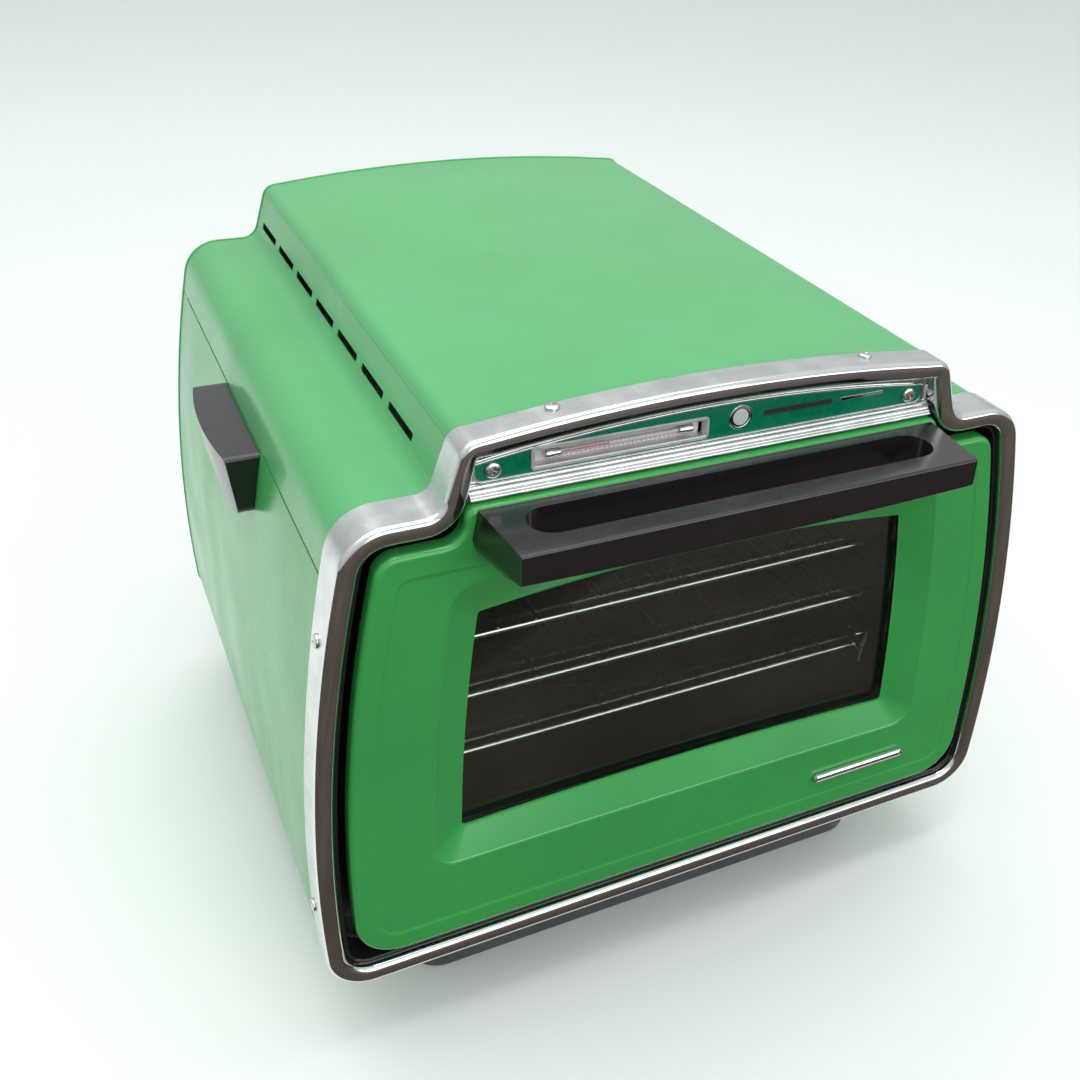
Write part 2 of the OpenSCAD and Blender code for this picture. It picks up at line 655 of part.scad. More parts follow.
// ---- Racks ------------------------------------------------------------------------
module rack(z) {
  r = rack_wire/2;
  color([0.78, 0.78, 0.76]) {
    for (d = [rack_front, rack_back]) rod_x(-rack_hw - r*0.8, rack_hw + r*0.8, d, z, r);
    for (s = [-1, 1]) rod_y(s*rack_hw, z, rack_front, rack_back, r - 0.2);
    rod_x(-rack_hw, rack_hw, (rack_front + rack_back)/2, z - 0.6, 1.1);
    for (k = [1:rack_bars]) rod_y(-rack_hw + 2*rack_hw*k/(rack_bars + 1), z + 0.5, rack_front, rack_back, 1.25);
  }
}
module rack_lower() { rack(rack_low); }
module rack_middle() { rack(rack_low + rack_pitch); }
// Bent wire hook at the right of the lowest rack, reaching towards the door
module rack_hook() {
  d = rack_front - 8;
  color([0.78, 0.78, 0.76]) {
    rod_y(125.7, rack_low, d, rack_front - rack_wire/2 - 0.02, 1.5);
    translate([128, front + d, rack_low + 14]) rotate([0, 189, 0]) cylinder(h = 22, r = 1.3);
    rod_x(119, 128, d, rack_low + 14, 1.2);
  }
}
module rack_upper() { rack(rack_low + 2*rack_pitch); }

top_cover();
left_side_panel();
right_side_panel();
seam_rail_left();
seam_rail_right();
rear_panel();
floor_pan();
base_skirt();
heat_funnel();
oven_liner();
flame_spreader();
heat_shield();
front_bulkhead();
door_gasket();
front_frame();
fascia_carrier();
fascia_plate();
fascia_ring();
trim_strip();
thermometer_frame();
thermometer_scale();
thermometer_tube();
thermometer_clips();
thermometer_stem();
frame_screws();
fascia_screws();
rear_screws();
base_screws();
carry_handle_left();
carry_handle_right();
carry_handle_screws();
hinge_bracket_left();
hinge_bracket_right();
hinge_pin_left();
hinge_pin_right();
door_outer();
door_inner();
door_glass();
glass_retainer();
door_handle();
handle_screws();
door_badge();
hinge_leaf_left();
hinge_leaf_right();
rack_upper();
rack_middle();
rack_hook();
rack_lower();
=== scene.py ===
"""Looks of the stove-top oven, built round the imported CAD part.

Lengths are millimetres in the oven's own axes: x to the right, depth back from the chrome frame's
front plane, z up from the table. point() turns them into the frame's metres.
"""

from math import acos, asin, atan2, cos, degrees, hypot, pi, radians, sin, sqrt, tan

import bmesh
import bpy
from mathutils import Matrix, Quaternion, Vector
from mathutils.geometry import tessellate_polygon


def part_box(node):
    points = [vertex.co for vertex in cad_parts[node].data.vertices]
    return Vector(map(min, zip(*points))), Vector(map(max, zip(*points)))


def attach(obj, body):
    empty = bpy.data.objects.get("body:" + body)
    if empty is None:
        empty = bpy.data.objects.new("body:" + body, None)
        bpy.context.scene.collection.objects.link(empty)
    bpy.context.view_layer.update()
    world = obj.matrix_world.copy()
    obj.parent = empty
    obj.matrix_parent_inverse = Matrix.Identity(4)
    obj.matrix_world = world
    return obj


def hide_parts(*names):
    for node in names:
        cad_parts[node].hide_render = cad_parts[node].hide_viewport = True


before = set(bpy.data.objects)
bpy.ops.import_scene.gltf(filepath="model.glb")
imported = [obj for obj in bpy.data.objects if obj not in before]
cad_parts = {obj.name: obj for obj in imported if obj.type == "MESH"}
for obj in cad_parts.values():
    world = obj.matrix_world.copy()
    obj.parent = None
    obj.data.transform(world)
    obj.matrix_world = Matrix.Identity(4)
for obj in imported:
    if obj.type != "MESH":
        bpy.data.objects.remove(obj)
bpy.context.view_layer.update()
MM = 0.001
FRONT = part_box("front_frame")[0][1]


def span(node, axis):
    """Lowest and highest edge of a CAD node along x (0), depth (1) or z (2)."""
    shift = FRONT if axis == 1 else 0
    return tuple((corner[axis] - shift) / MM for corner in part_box(node))


def point(x, depth, z):
    """A place in the oven's millimetres, as metres in the frame."""
    return Vector((x * MM, FRONT + depth * MM, z * MM))


# ---- Sizes, from the frame ----
BODY_W = 2 * span("front_frame", 0)[1]
UNDER_Z, CROWN_Z = span("front_frame", 2)
BODY_D = span("rear_panel", 1)[1]
SEAM_Z = span("top_cover", 2)[0] - 0.4
SHOULDER_Z = CROWN_Z - 41.5
SIDE_R = 860
SIDE_Z = UNDER_Z + 58
SIDE_X = BODY_W / 2 - SIDE_R
LOW_R, TOP_R, FOOT_R, LIP_R = 25, 25, 10, 10
LEAN = 18
CROWN_R = 1000
CROWN_C = CROWN_Z - CROWN_R
LIP_X = 122
LIP_Z = CROWN_C + sqrt((CROWN_R - LIP_R) ** 2 - LIP_X**2)
LIP_A = degrees(atan2(LIP_Z - CROWN_C, LIP_X))

DOOR_BOTTOM, DOOR_TOP = span("door_outer", 2)
DOOR_INSET = BODY_W / 2 - span("door_outer", 0)[1]
DOOR_R = 25
DOOR_SHOULDER = SHOULDER_Z - 15.5
DOOR_BACK = span("door_inner", 1)[1]
DOOR_FACE = span("door_outer", 1)[0]
NECK_X = 129.5
GLASS_LAP = 6
WINDOW_HW = span("door_glass", 0)[1] - GLASS_LAP
WINDOW_Z0 = span("door_glass", 2)[0] + GLASS_LAP
WINDOW_Z1 = span("door_glass", 2)[1] - GLASS_LAP
WINDOW_R = 1100
GLASS_D = span("door_glass", 1)[0]

HINGE_X = 160
LINER = 0.6
CAV_HW = span("oven_liner", 0)[1] - LINER
CAV_Z0, CAV_Z1 = (z + s * LINER for z, s in zip(span("oven_liner", 2), (1, -1)))
MOUTH_R = 6
WALL_D = 22

HANDLE_HL = span("door_handle", 0)[1]
HANDLE_D = span("door_handle", 1)[0]
HANDLE_Z = span("door_handle", 2)[1]
CORNER_R = 12

PLATE_HW = span("fascia_plate", 0)[1]
PLATE_Z0, PLATE_Z1 = span("fascia_plate", 2)
PLATE_D = span("fascia_plate", 1)[0]
THERMO_X = sum(span("thermometer_frame", 0)) / 2
THERMO_Z = sum(span("thermometer_frame", 2)) / 2
THERMO_HW = span("thermometer_frame", 0)[1] - THERMO_X
THERMO_HH = span("thermometer_frame", 2)[1] - THERMO_Z

BASE_W = 2 * span("base_skirt", 0)[1]
BASE_D = span("base_skirt", 1)[1] - span("base_skirt", 1)[0]
BASE_TOP = span("base_skirt", 2)[1]
MID_D = sum(span("base_skirt", 1)) / 2

COVER_I = 1.3  # how far the covers lie inside the frame's outline
COVER_ROWS = (BODY_D - 0.7, BODY_D - 1.6, 300, 200, 100, 4)
HEM = ((2.2, 1.3), (1.1, 0.6), (0.3, 0.5))
VENT_L, VENT_H, VENT_R = 38.5, 4.4, 1.2
VENT_PITCH, VENT_D, VENT_RISE = 48.3, MID_D + 21, 4.42
CROWN_SCREW_X = 84
BACKWARDS = (0, 1, 0)


# ---- Outlines, as (x, z) points that run anticlockwise seen from the front ----
def cosd(a):
    return cos(radians(a))


def sind(a):
    return sin(radians(a))


def arc(x, z, r, start, end, steps, first=0):
    """Points along an arc round (x, z), between two angles in degrees."""
    angles = [start + (end - start) * k / steps for k in range(first, steps + 1)]
    return [(x + r * cosd(a), z + r * sind(a)) for a in angles]


def flipped(points):
    """The mirror image of points, in the order that keeps them anticlockwise."""
    return [(-x, z) for x, z in reversed(points)]


def mirrored(half):
    """Closes a right half with its mirror image."""
    return half + [(x, z) for x, z in flipped(half) if abs(x) > 0.01]


def touch(cx, radius, r, z):
    """Centre and end angle of a corner arc of radius r, at height z, on a barrel side."""
    x = cx + sqrt((radius - r) ** 2 - (z - SIDE_Z) ** 2)
    return x, degrees(atan2(z - SIDE_Z, x - cx))


FOOT_X = LIP_X + (LIP_R + FOOT_R - (SHOULDER_Z + FOOT_R - LIP_Z) * sind(LEAN)) / cosd(LEAN)


def side_half(i, z_from=None, z_to=None):
    """The barrel side, inset by i, with its corners unless it is cut at a height."""
    low_x, low_a = touch(SIDE_X, SIDE_R, LOW_R, UNDER_Z + LOW_R)
    top_x, top_a = touch(SIDE_X, SIDE_R, TOP_R, SHOULDER_Z - TOP_R)
    points = []
    if z_from is None:
        points += arc(low_x, UNDER_Z + LOW_R, LOW_R - i, -90, low_a, 12)
    else:
        low_a = degrees(asin((z_from - SIDE_Z) / (SIDE_R - i)))
    end_a = top_a if z_to is None else degrees(asin((z_to - SIDE_Z) / (SIDE_R - i)))
    points += arc(SIDE_X, SIDE_Z, SIDE_R - i, low_a, end_a, 20, 1 if points else 0)
    if z_to is None:
        points += arc(top_x, SHOULDER_Z - TOP_R, TOP_R - i, top_a, 90, 12, 1)
    return points


def foot_half(i, z_from=None):
    """The hollow at the foot of the hump."""
    start = 270
    if z_from is not None:
        start = 180 + degrees(asin((SHOULDER_Z + FOOT_R - z_from) / (FOOT_R + i)))
    return arc(FOOT_X, SHOULDER_Z + FOOT_R, FOOT_R + i, start, 180 + LEAN, 8)


def crown_half(i):
    """The hump's upper corner and its crown up to the middle."""
    lip = arc(LIP_X, LIP_Z, max(LIP_R - 0.9 * i, 0.4), LEAN, LIP_A, 8)
    return lip + arc(0, CROWN_C, CROWN_R - i, LIP_A, 90, 14, 1)


def body(i):
    return mirrored([(0, UNDER_Z + i)] + side_half(i) + foot_half(i) + crown_half(i))


def hump(i, z0):
    """The inside of the hump above z0."""
    foot = foot_half(i, z0)
    return mirrored([(0, z0)] + foot + crown_half(i))


def barrel(hw, r, z0, z1, rb, rt, i=0):
    """Barrel sides with a flat top and bottom, inset by i."""
    cx, rr = hw - r, r - i
    b, t = max(rb - i, 0.6), max(rt - i, 0.6)
    zb, zt = z0 + i + b, z1 - i - t
    xb, ab = touch(cx, rr, b, zb)
    xt, at = touch(cx, rr, t, zt)
    side = arc(cx, SIDE_Z, rr, ab, at, 12, 1)
    return mirrored(arc(xb, zb, b, -90, ab, 8) + side + arc(xt, zt, t, at, 90, 8, 1))


def bowed(points, top_rise, bottom_rise):
    """Splits a barrel outline's flat top and bottom and raises their middles."""
    n = len(points) // 2
    ends = ((points[n - 1], points[n], top_rise), (points[-1], points[0], bottom_rise))
    rows = []
    for a, b, rise in ends:
        row = []
        for k in range(1, 12):
            x = a[0] + (b[0] - a[0]) * k / 12
            row.append((x, a[1] + rise * (1 - (x / a[0]) ** 2)))
        rows.append(row)
    return points[:n] + rows[0] + points[n:] + rows[1]


def window(i=0):
    return bowed(barrel(WINDOW_HW, WINDOW_R, WINDOW_Z0, WINDOW_Z1 - 1.5, 3, 3, i), 7.5, 3.5)


def slope_edge(i=0):
    return bowed(barrel(WINDOW_HW + 17, WINDOW_R, WINDOW_Z0 - 16, WINDOW_Z1 + 19, 13, 16, i), 2, 1)


def field(i=0):
    """Edge of the door's shallow pressed field."""
    return barrel(BODY_W / 2 - 28.2, SIDE_R, DOOR_BOTTOM + 12, DOOR_TOP - 29, 13, 8, i)


def door(i):
    """The door, with its neck under the name plate."""
    rr, rs, rb = SIDE_R - DOOR_INSET - i, 12 - i / 2, DOOR_R - i
    zs = DOOR_SHOULDER - i - rs
    rn = max(6 - i, 1)
    xb, ab = touch(SIDE_X, rr, rb, DOOR_BOTTOM + DOOR_R)
    xt, at = touch(SIDE_X, rr, rs, zs)
    half = [(0, DOOR_BOTTOM + i)] + arc(xb, DOOR_BOTTOM + DOOR_R, rb, -90, ab, 12)
    half += arc(SIDE_X, SIDE_Z, rr, ab, at, 20, 1) + arc(xt, zs, rs, at, 90, 8, 1)
    half += arc(NECK_X + 10, DOOR_SHOULDER + 10, 10 + i, 270, 180, 8)
    half += arc(NECK_X - i - rn, DOOR_TOP - i - rn, rn, 0, 90, 6)
    return mirrored(half + [(0, DOOR_TOP - i)])


def rounded(x0, x1, z0, z1, r, steps=6):
    """A rectangle with rounded corners."""
    right, left = ((x1 - r, z0 + r, -90), (x1 - r, z1 - r, 0)), ((x0 + r, z1 - r, 90), (x0 + r, z0 + r, 180))
    return [p for x, z, a in right + left for p in arc(x, z, r, a, a + 90, steps)]


def mouth(i):
    return rounded(i - CAV_HW, CAV_HW - i, CAV_Z0 + i, CAV_Z1 - i, MOUTH_R)


def filleted(corners, radii, steps=4):
    """A polygon whose corners are rounded, each by its own radius."""
    points = []
    n = len(corners)
    for k, r in enumerate(radii):
        p, a, b = (Vector(corners[j % n]) for j in (k, k - 1, k + 1))
        u, v = (a - p).normalized(), (b - p).normalized()
        half = u.angle(v) / 2
        reach = min(r / tan(half), 0.48 * (a - p).length, 0.48 * (b - p).length)
        centre = p + (u + v).normalized() * reach / cos(half)
        start, end = p + u * reach - centre, p + v * reach - centre
        turn = start.angle_signed(end)
        for j in range(steps + 1):
            arm = start.copy()
            arm.rotate(Matrix.Rotation(-turn * j / steps, 2))
            points.append(tuple(centre + arm))
    return points


# ---- Meshes ----
class Shape:
    """Points in the oven's millimetres, and faces with the number of the finish each one has."""

    def __init__(self):
        self.points, self.faces, self.finishes = [], [], []

    def add(self, points):
        first = len(self.points)
        self.points += points
        return list(range(first, len(self.points)))

    def ring(self, outline, depth):
        return self.add([(x, depth, z) for x, z in outline])

    def rings(self, outline, steps):
        """Rings of an outline that is a function of its inset, one for each (inset, depth)."""
        return [self.ring(outline(i), d) for i, d in steps]

    def face(self, corners, finish=0):
        self.faces.append(tuple(corners))
        self.finishes.append(finish)

    def skin(self, a, b, finish=0, closed=True):
        """A band of faces between two rows of as many points."""
        for k in range(len(a) if closed else len(a) - 1):
            j = (k + 1) % len(a)
            self.face((a[k], a[j], b[j], b[k]), finish)

    def loft(self, rows, finish=0, closed=True):
        for a, b in zip(rows, rows[1:]):
            self.skin(a, b, finish, closed)

    def cap(self, outer, *holes, facing=(0, -1, 0), finish=0):
        """Fills a flat outline, leaving its holes open."""
        order = [k for loop in (outer, *holes) for k in loop]
        loops = [[Vector(self.points[k]) for k in loop] for loop in (outer, *holes)]
        for tri in tessellate_polygon(loops):
            a, b, c = (Vector(self.points[order[k]]) for k in tri)
            turn = (b - a).cross(c - a).dot(Vector(facing))
            self.face([order[k] for k in (tri if turn > 0 else reversed(tri))], finish)

    def bar(self, rows, finish=0):
        """Joins rows into a body and closes both of its ends."""
        self.loft(rows, finish)
        self.face(rows[0], finish)
        self.face(rows[-1], finish)

    def block(self, x0, x1, d0, d1, z0, z1, finish=0):
        corners = [(x0, z0), (x1, z0), (x1, z1), (x0, z1)]
        self.bar([self.ring(corners, d1), self.ring(corners, d0)], finish)

    def prism(self, outline, d0, d1, edge=0, finish=0):
        """A plate of that outline. It is a list of (x, z) points, or a function of an inset that
        lets the plate's front edge be rounded."""
        shape = outline if callable(outline) else lambda i: outline
        steps = [(0, d1), (0, d0 + edge)]
        if edge:
            steps += [(edge * (1 - cosd(a)), d0 + edge * (1 - sind(a))) for a in (30, 60, 90)]
        rows = self.rings(shape, steps)
        self.loft(rows, finish)
        self.cap(rows[-1], finish=finish)
        self.cap(rows[0], facing=BACKWARDS, finish=finish)

    def tube(self, path, r, sides=12, closed=False, finish=0):
        """A round wire along a path of places, its ends domed."""
        path = [Vector(p) for p in path]
        n = len(path)
        rows = []
        side = None
        for k, p in enumerate(path):
            before = path[k - 1] if closed or k else p
            after = path[(k + 1) % n] if closed or k < n - 1 else p
            along = (after - before).normalized()
            if side is None:
                side = along.orthogonal()
            side = (side - along * side.dot(along)).normalized()
            other = along.cross(side)
            turns = [360 * j / sides for j in range(sides)]
            rows.append(self.add([tuple(p + (side * cosd(a) + other * sind(a)) * r) for a in turns]))
        self.loft(rows, finish)
        if closed:
            last = Vector(self.points[rows[-1][0]])
            gaps = [(Vector(self.points[k]) - last).length for k in rows[0]]
            shift = gaps.index(min(gaps))
            self.skin(rows[-1], rows[0][shift:] + rows[0][:shift], finish)
            return
        for row, end, before in ((rows[0], path[0], path[1]), (rows[-1], path[-1], path[-2])):
            tip = end + (end - before).normalized() * r * 0.3
            inner = self.add([tuple(tip + (Vector(self.points[k]) - end) * 0.7) for k in row])
            self.skin(row, inner, finish)
            self.face(inner, finish)

    def lathe(self, profile, place, sides=32, finish=0):
        """Turns (radius, height) points round an axis; place is a matrix in millimetres."""
        rows = []
        for r, h in profile:
            turns = [360 * j / sides for j in range(sides)]
            spots = [place @ Vector((r * cosd(a), r * sind(a), h)) for a in turns]
            rows.append(self.add([tuple(p) for p in spots]))
        self.bar(rows, finish)


def applied(obj):
    """Turns a piece's modifiers into its mesh."""
    seen = obj.evaluated_get(bpy.context.evaluated_depsgraph_get())
    mesh = bpy.data.meshes.new_from_object(seen)
    obj.modifiers.clear()
    obj.data = mesh


def mesh_of(name, shape, materials=(), outward=True):
    mesh = bpy.data.meshes.new(name)
    mesh.from_pydata([point(*p) for p in shape.points], [], shape.faces)
    for material in materials:
        mesh.materials.append(material)
    for polygon, finish in zip(mesh.polygons, shape.finishes):
        polygon.material_index = finish
    bm = bmesh.new()
    bm.from_mesh(mesh)
    bmesh.ops.remove_doubles(bm, verts=bm.verts, dist=2e-6)
    bmesh.ops.dissolve_degenerate(bm, edges=bm.edges, dist=1e-6)
    if outward:
        bmesh.ops.recalc_face_normals(bm, faces=bm.faces)
    bm.to_mesh(mesh)
    bm.free()
    obj = bpy.data.objects.new(name, mesh)
    bpy.context.collection.objects.link(obj)
    return obj


def cutter(shape):
    return mesh_of("cutter", shape)


def subtract(obj, cut, use_self=False):
    mod = obj.modifiers.new("cut", "BOOLEAN")
    mod.operation, mod.object, mod.solver, mod.use_self = "DIFFERENCE", cut, "EXACT", use_self


def make(name, shape, rider, slot, materials, nodes=(), cuts=(), sheet=0, bevel=0, sharp=32, limit=40):
    """Makes a piece, rides it on a body and hides the CAD nodes it stands for."""
    obj = mesh_of(name, shape, materials, outward=not sheet)
    if sheet:
        mod = obj.modifiers.new("sheet", "SOLIDIFY")
        mod.thickness, mod.offset, mod.use_even_offset = sheet * MM, -1, False
    for cut in cuts:
        subtract(obj, cut)
    if sheet or cuts:
        applied(obj)
    for cut in cuts:
        bpy.data.objects.remove(cut)
    if bevel:
        mod = obj.modifiers.new("edges", "BEVEL")
        mod.width, mod.segments, mod.limit_method = bevel * MM, 3, "ANGLE"
        mod.angle_limit, mod.harden_normals = radians(limit), False
        applied(obj)
    for polygon in obj.data.polygons:
        polygon.use_smooth = True
    obj.data.set_sharp_from_angle(angle=radians(sharp))
    obj.modifiers.new("shading", "WEIGHTED_NORMAL").keep_sharp = True
    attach(obj, rider)
    if nodes:
        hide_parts(*nodes)
    return obj


# ---- Materials ----
class Look:
    """A Principled material whose inputs are fed by noise in the piece's own space."""

    def __init__(self, name, color, roughness, metallic=0.0, **sockets):
        self.material = bpy.data.materials.new(name)
        self.material.use_nodes = True
        self.nodes = self.material.node_tree.nodes
        self.links = self.material.node_tree.links
        self.shader = self.nodes["Principled BSDF"]
        self.place = self.nodes.new("ShaderNodeTexCoord").outputs["Object"]
        self.color = color
        self.set("Base Color", (*color, 1))
        self.set("Roughness", roughness)
        self.set("Metallic", metallic)
        for socket, value in sockets.items():
            self.set(socket.replace("_", " "), value)

    def set(self, socket, value):
        self.shader.inputs[socket].default_value = value

    def link(self, output, socket):
        self.links.new(output, socket)

    def stretched(self, scale):
        """The piece's space, stretched by a scale for each axis."""
        node = self.nodes.new("ShaderNodeMapping")
        node.inputs["Scale"].default_value = scale
        self.link(self.place, node.inputs["Vector"])
        return node.outputs["Vector"]

    def noise(self, size, detail=2.0, stretch=None, distortion=0.0):
        """Noise whose grains are about size millimetres wide."""
        node = self.nodes.new("ShaderNodeTexNoise")
        node.inputs["Scale"].default_value = 1 / (size * MM)
        node.inputs["Detail"].default_value = detail
        node.inputs["Distortion"].default_value = distortion
        self.link(self.stretched(stretch) if stretch else self.place, node.inputs["Vector"])
        return node.outputs["Fac"]

    def dots(self, size, reach):
        """1 inside small spots scattered about size millimetres apart, 0 elsewhere."""
        node = self.nodes.new("ShaderNodeTexVoronoi")
        node.inputs["Scale"].default_value = 1 / (size * MM)
        self.link(self.place, node.inputs["Vector"])
        return self.spread(node.outputs["Distance"], 0, reach, 1, 0)

    def spread(self, value, low, high, out_low, out_high):
        """Maps a value's range to another, held at its ends."""
        node = self.nodes.new("ShaderNodeMapRange")
        ends = (low, high, out_low, out_high)
        for name, number in zip(("From Min", "From Max", "To Min", "To Max"), ends):
            node.inputs[name].default_value = number
        self.link(value, node.inputs["Value"])
        return node.outputs["Result"]

    def math(self, kind, a, b):
        node = self.nodes.new("ShaderNodeMath")
        node.operation = kind
        for socket, value in zip(node.inputs, (a, b)):
            if isinstance(value, (int, float)):
                socket.default_value = value
            else:
                self.link(value, socket)
        return node.outputs["Value"]

    def paint(self, factor, a, b):
        """A colour that goes from a to b with a factor; either may be another colour output."""
        node = self.nodes.new("ShaderNodeMix")
        node.data_type = "RGBA"
        for socket, value in ((node.inputs[6], a), (node.inputs[7], b)):
            if isinstance(value, tuple):
                socket.default_value = (*value, 1)
            else:
                self.link(value, socket)
        self.link(factor, node.inputs[0])
        return node.outputs[2]

    def shade(self, by):
        """The base colour made lighter or darker by a factor."""
        return tuple(min(c * by, 1) for c in self.color)

    def patches(self, noise, low, high, out_low=0, out_high=1):
        """Soft patches between two values; noise holds the arguments of a noise."""
        return self.spread(self.noise(*noise), low, high, out_low, out_high)

    def clouds(self, noise, low, high, dark, light):
        """The base colour in darker and lighter patches."""
        return self.paint(self.patches(noise, low, high), self.shade(dark), self.shade(light))

    def use_color(self, output):
        self.link(output, self.shader.inputs["Base Color"])

    def use_roughness(self, output):
        self.link(output, self.shader.inputs["Roughness"])

    def bump(self, *layers):
        """Stacks bumps: each layer is a height and its distance in millimetres."""
        normal = None
        for height, distance in layers:
            node = self.nodes.new("ShaderNodeBump")
            node.inputs["Distance"].default_value = distance * MM
            self.link(height, node.inputs["Height"])
            if normal:
                self.link(normal, node.inputs["Normal"])
            normal = node.outputs["Normal"]
        self.link(normal, self.shader.inputs["Normal"])


def enamel(name, color, roughness=0.3, coat=0.25):
    """Baked gloss enamel: slight orange peel, cloudy gloss and a few dark nibs."""
    look = Look(name, color, roughness, Coat_Weight=coat, Coat_Roughness=0.06)
    nibs = look.dots(14, 0.02)
    look.use_color(look.paint(nibs, look.clouds((90, 3), 0.3, 0.7, 0.95, 1.05), look.shade(0.7)))
    look.use_roughness(look.patches((70, 2), 0.35, 0.7, roughness - 0.04, roughness + 0.07))
    look.bump((look.noise(60, 1), 0.4), (look.noise(2.2, 1), 0.0012), (nibs, 0.008))
    return look.material


def chrome(name):
    """Old chrome plate: wavy mirror, thin haze and fine pits."""
    look = Look(name, (0.80, 0.80, 0.81), 0.06, 1.0)
    pits = look.math("MULTIPLY", look.dots(3.2, 0.10), look.patches((45, 2), 0.52, 0.66))
    look.use_color(look.paint(pits, look.clouds((30, 3), 0.35, 0.7, 0.93, 1.0), (0.16, 0.13, 0.11)))
    haze = look.patches((14, 4), 0.4, 0.75, 0.045, 0.14)
    look.use_roughness(look.math("ADD", haze, look.math("MULTIPLY", pits, 0.4)))
    look.bump((look.noise(18, 1), 0.10), (look.noise(5, 2), 0.012), (pits, -0.03))
    return look.material


def hazed_chrome(name):
    """The flat band of the frame: chrome rubbed dull, with cloudy wear and pits."""
    look = Look(name, (0.78, 0.78, 0.785), 0.24, 1.0)
    rubbed = look.noise(1.1, 4, stretch=(1, 0.12, 1))
    pits = look.math("MULTIPLY", look.dots(2.6, 0.12), look.patches((38, 2), 0.5, 0.62))
    look.use_color(look.paint(pits, look.clouds((20, 5), 0.35, 0.65, 0.84, 1.02), (0.17, 0.14, 0.12)))
    haze = look.patches((16, 4), 0.35, 0.7, 0.17, 0.36)
    look.use_roughness(look.math("ADD", haze, look.math("MULTIPLY", pits, 0.35)))
    look.bump((look.noise(22, 2), 0.12), (rubbed, 0.006), (pits, -0.03))
    return look.material


def aluminium(name, roughness=0.14):
    """Bright rolled aluminium with fine lengthways lines."""
    look = Look(name, (0.84, 0.85, 0.86), roughness, 1.0)
    lines = look.noise(0.5, 3, stretch=(0.03, 1, 1))
    look.use_color(look.clouds((12, 4), 0.35, 0.7, 0.86, 1.03))
    look.use_roughness(look.patches((9, 4), 0.3, 0.7, roughness - 0.05, roughness + 0.09))
    look.bump((look.noise(11, 2), 0.05), (lines, 0.0012))
    return look.material


def green_foil(name):
    """Transparent green lacquer on a bright plate."""
    look = Look(name, (0.0, 0.27, 0.14), 0.3, 0.35, Coat_Weight=0.4, Coat_Roughness=0.08)
    sheen = look.patches((35, 2, (0.4, 1, 1)), 0.3, 0.7)
    look.use_color(look.paint(sheen, (0.0, 0.22, 0.115), (0.0, 0.32, 0.165)))
    look.use_roughness(look.patches((6, 3), 0.3, 0.7, 0.2, 0.36))
    look.bump((look.noise(0.6, 2, stretch=(0.05, 1, 1)), 0.004))
    return look.material


def bakelite(name):
    """Moulded phenolic: brown-black, dulled by hands, with faint mottling and scuffs."""
    look = Look(name, (0.014, 0.012, 0.012), 0.24, Coat_Weight=0.4, Coat_Roughness=0.12)
    scuffs = look.patches((0.9, 3, (0.15, 1, 1), 0.6), 0.70, 0.86, 0, 0.4)
    look.use_color(look.paint(scuffs, look.clouds((7, 4), 0.35, 0.7, 0.9, 1.12), (0.045, 0.04, 0.038)))
    look.use_roughness(look.patches((40, 2), 0.35, 0.7, 0.20, 0.30))
    look.bump((look.noise(30, 1), 0.06), (look.noise(0.7, 2), 0.003))
    return look.material


def dark_enamel(name, color, roughness, speckle):
    """Sprayed dark enamel with pale speckles."""
    look = Look(name, color, roughness, Coat_Weight=0.15, Coat_Roughness=0.15)
    tone = look.clouds((40, 3), 0.3, 0.7, 0.85, 1.15)
    look.use_color(look.paint(look.dots(3.5, 0.12), tone, look.shade(speckle)))
    look.use_roughness(look.patches((20, 3), 0.3, 0.7, roughness - 0.08, roughness + 0.1))
    look.bump((look.noise(50, 1), 0.4), (look.noise(1.6, 2), 0.012))
    return look.material


def steel(name, color, roughness):
    """Plated steel with a little rust."""
    look = Look(name, color, roughness, 1.0)
    rust = look.patches((3.0, 4), 0.60, 0.74)
    look.use_color(look.paint(rust, look.clouds((6, 3), 0.35, 0.7, 0.8, 1.05), (0.15, 0.105, 0.075)))
    dull = look.patches((2, 3), 0.3, 0.7, roughness - 0.08, roughness + 0.1)
    look.use_roughness(look.math("ADD", look.math("MULTIPLY", rust, 0.4), dull))
    look.bump((look.noise(1.2, 3), 0.015), (look.noise(9, 1), 0.05))
    return look.material


def rack_chrome(name):
    """Bright wire, browned a little by heat."""
    look = Look(name, (0.86, 0.86, 0.85), 0.2, 1.0)
    heat = look.patches((22, 4), 0.55, 0.8)
    look.use_color(look.paint(heat, look.shade(1.0), (0.45, 0.38, 0.30)))
    look.use_roughness(look.patches((9, 2), 0.3, 0.7, 0.10, 0.2))
    look.bump((look.noise(1.5, 2), 0.02))
    return look.material


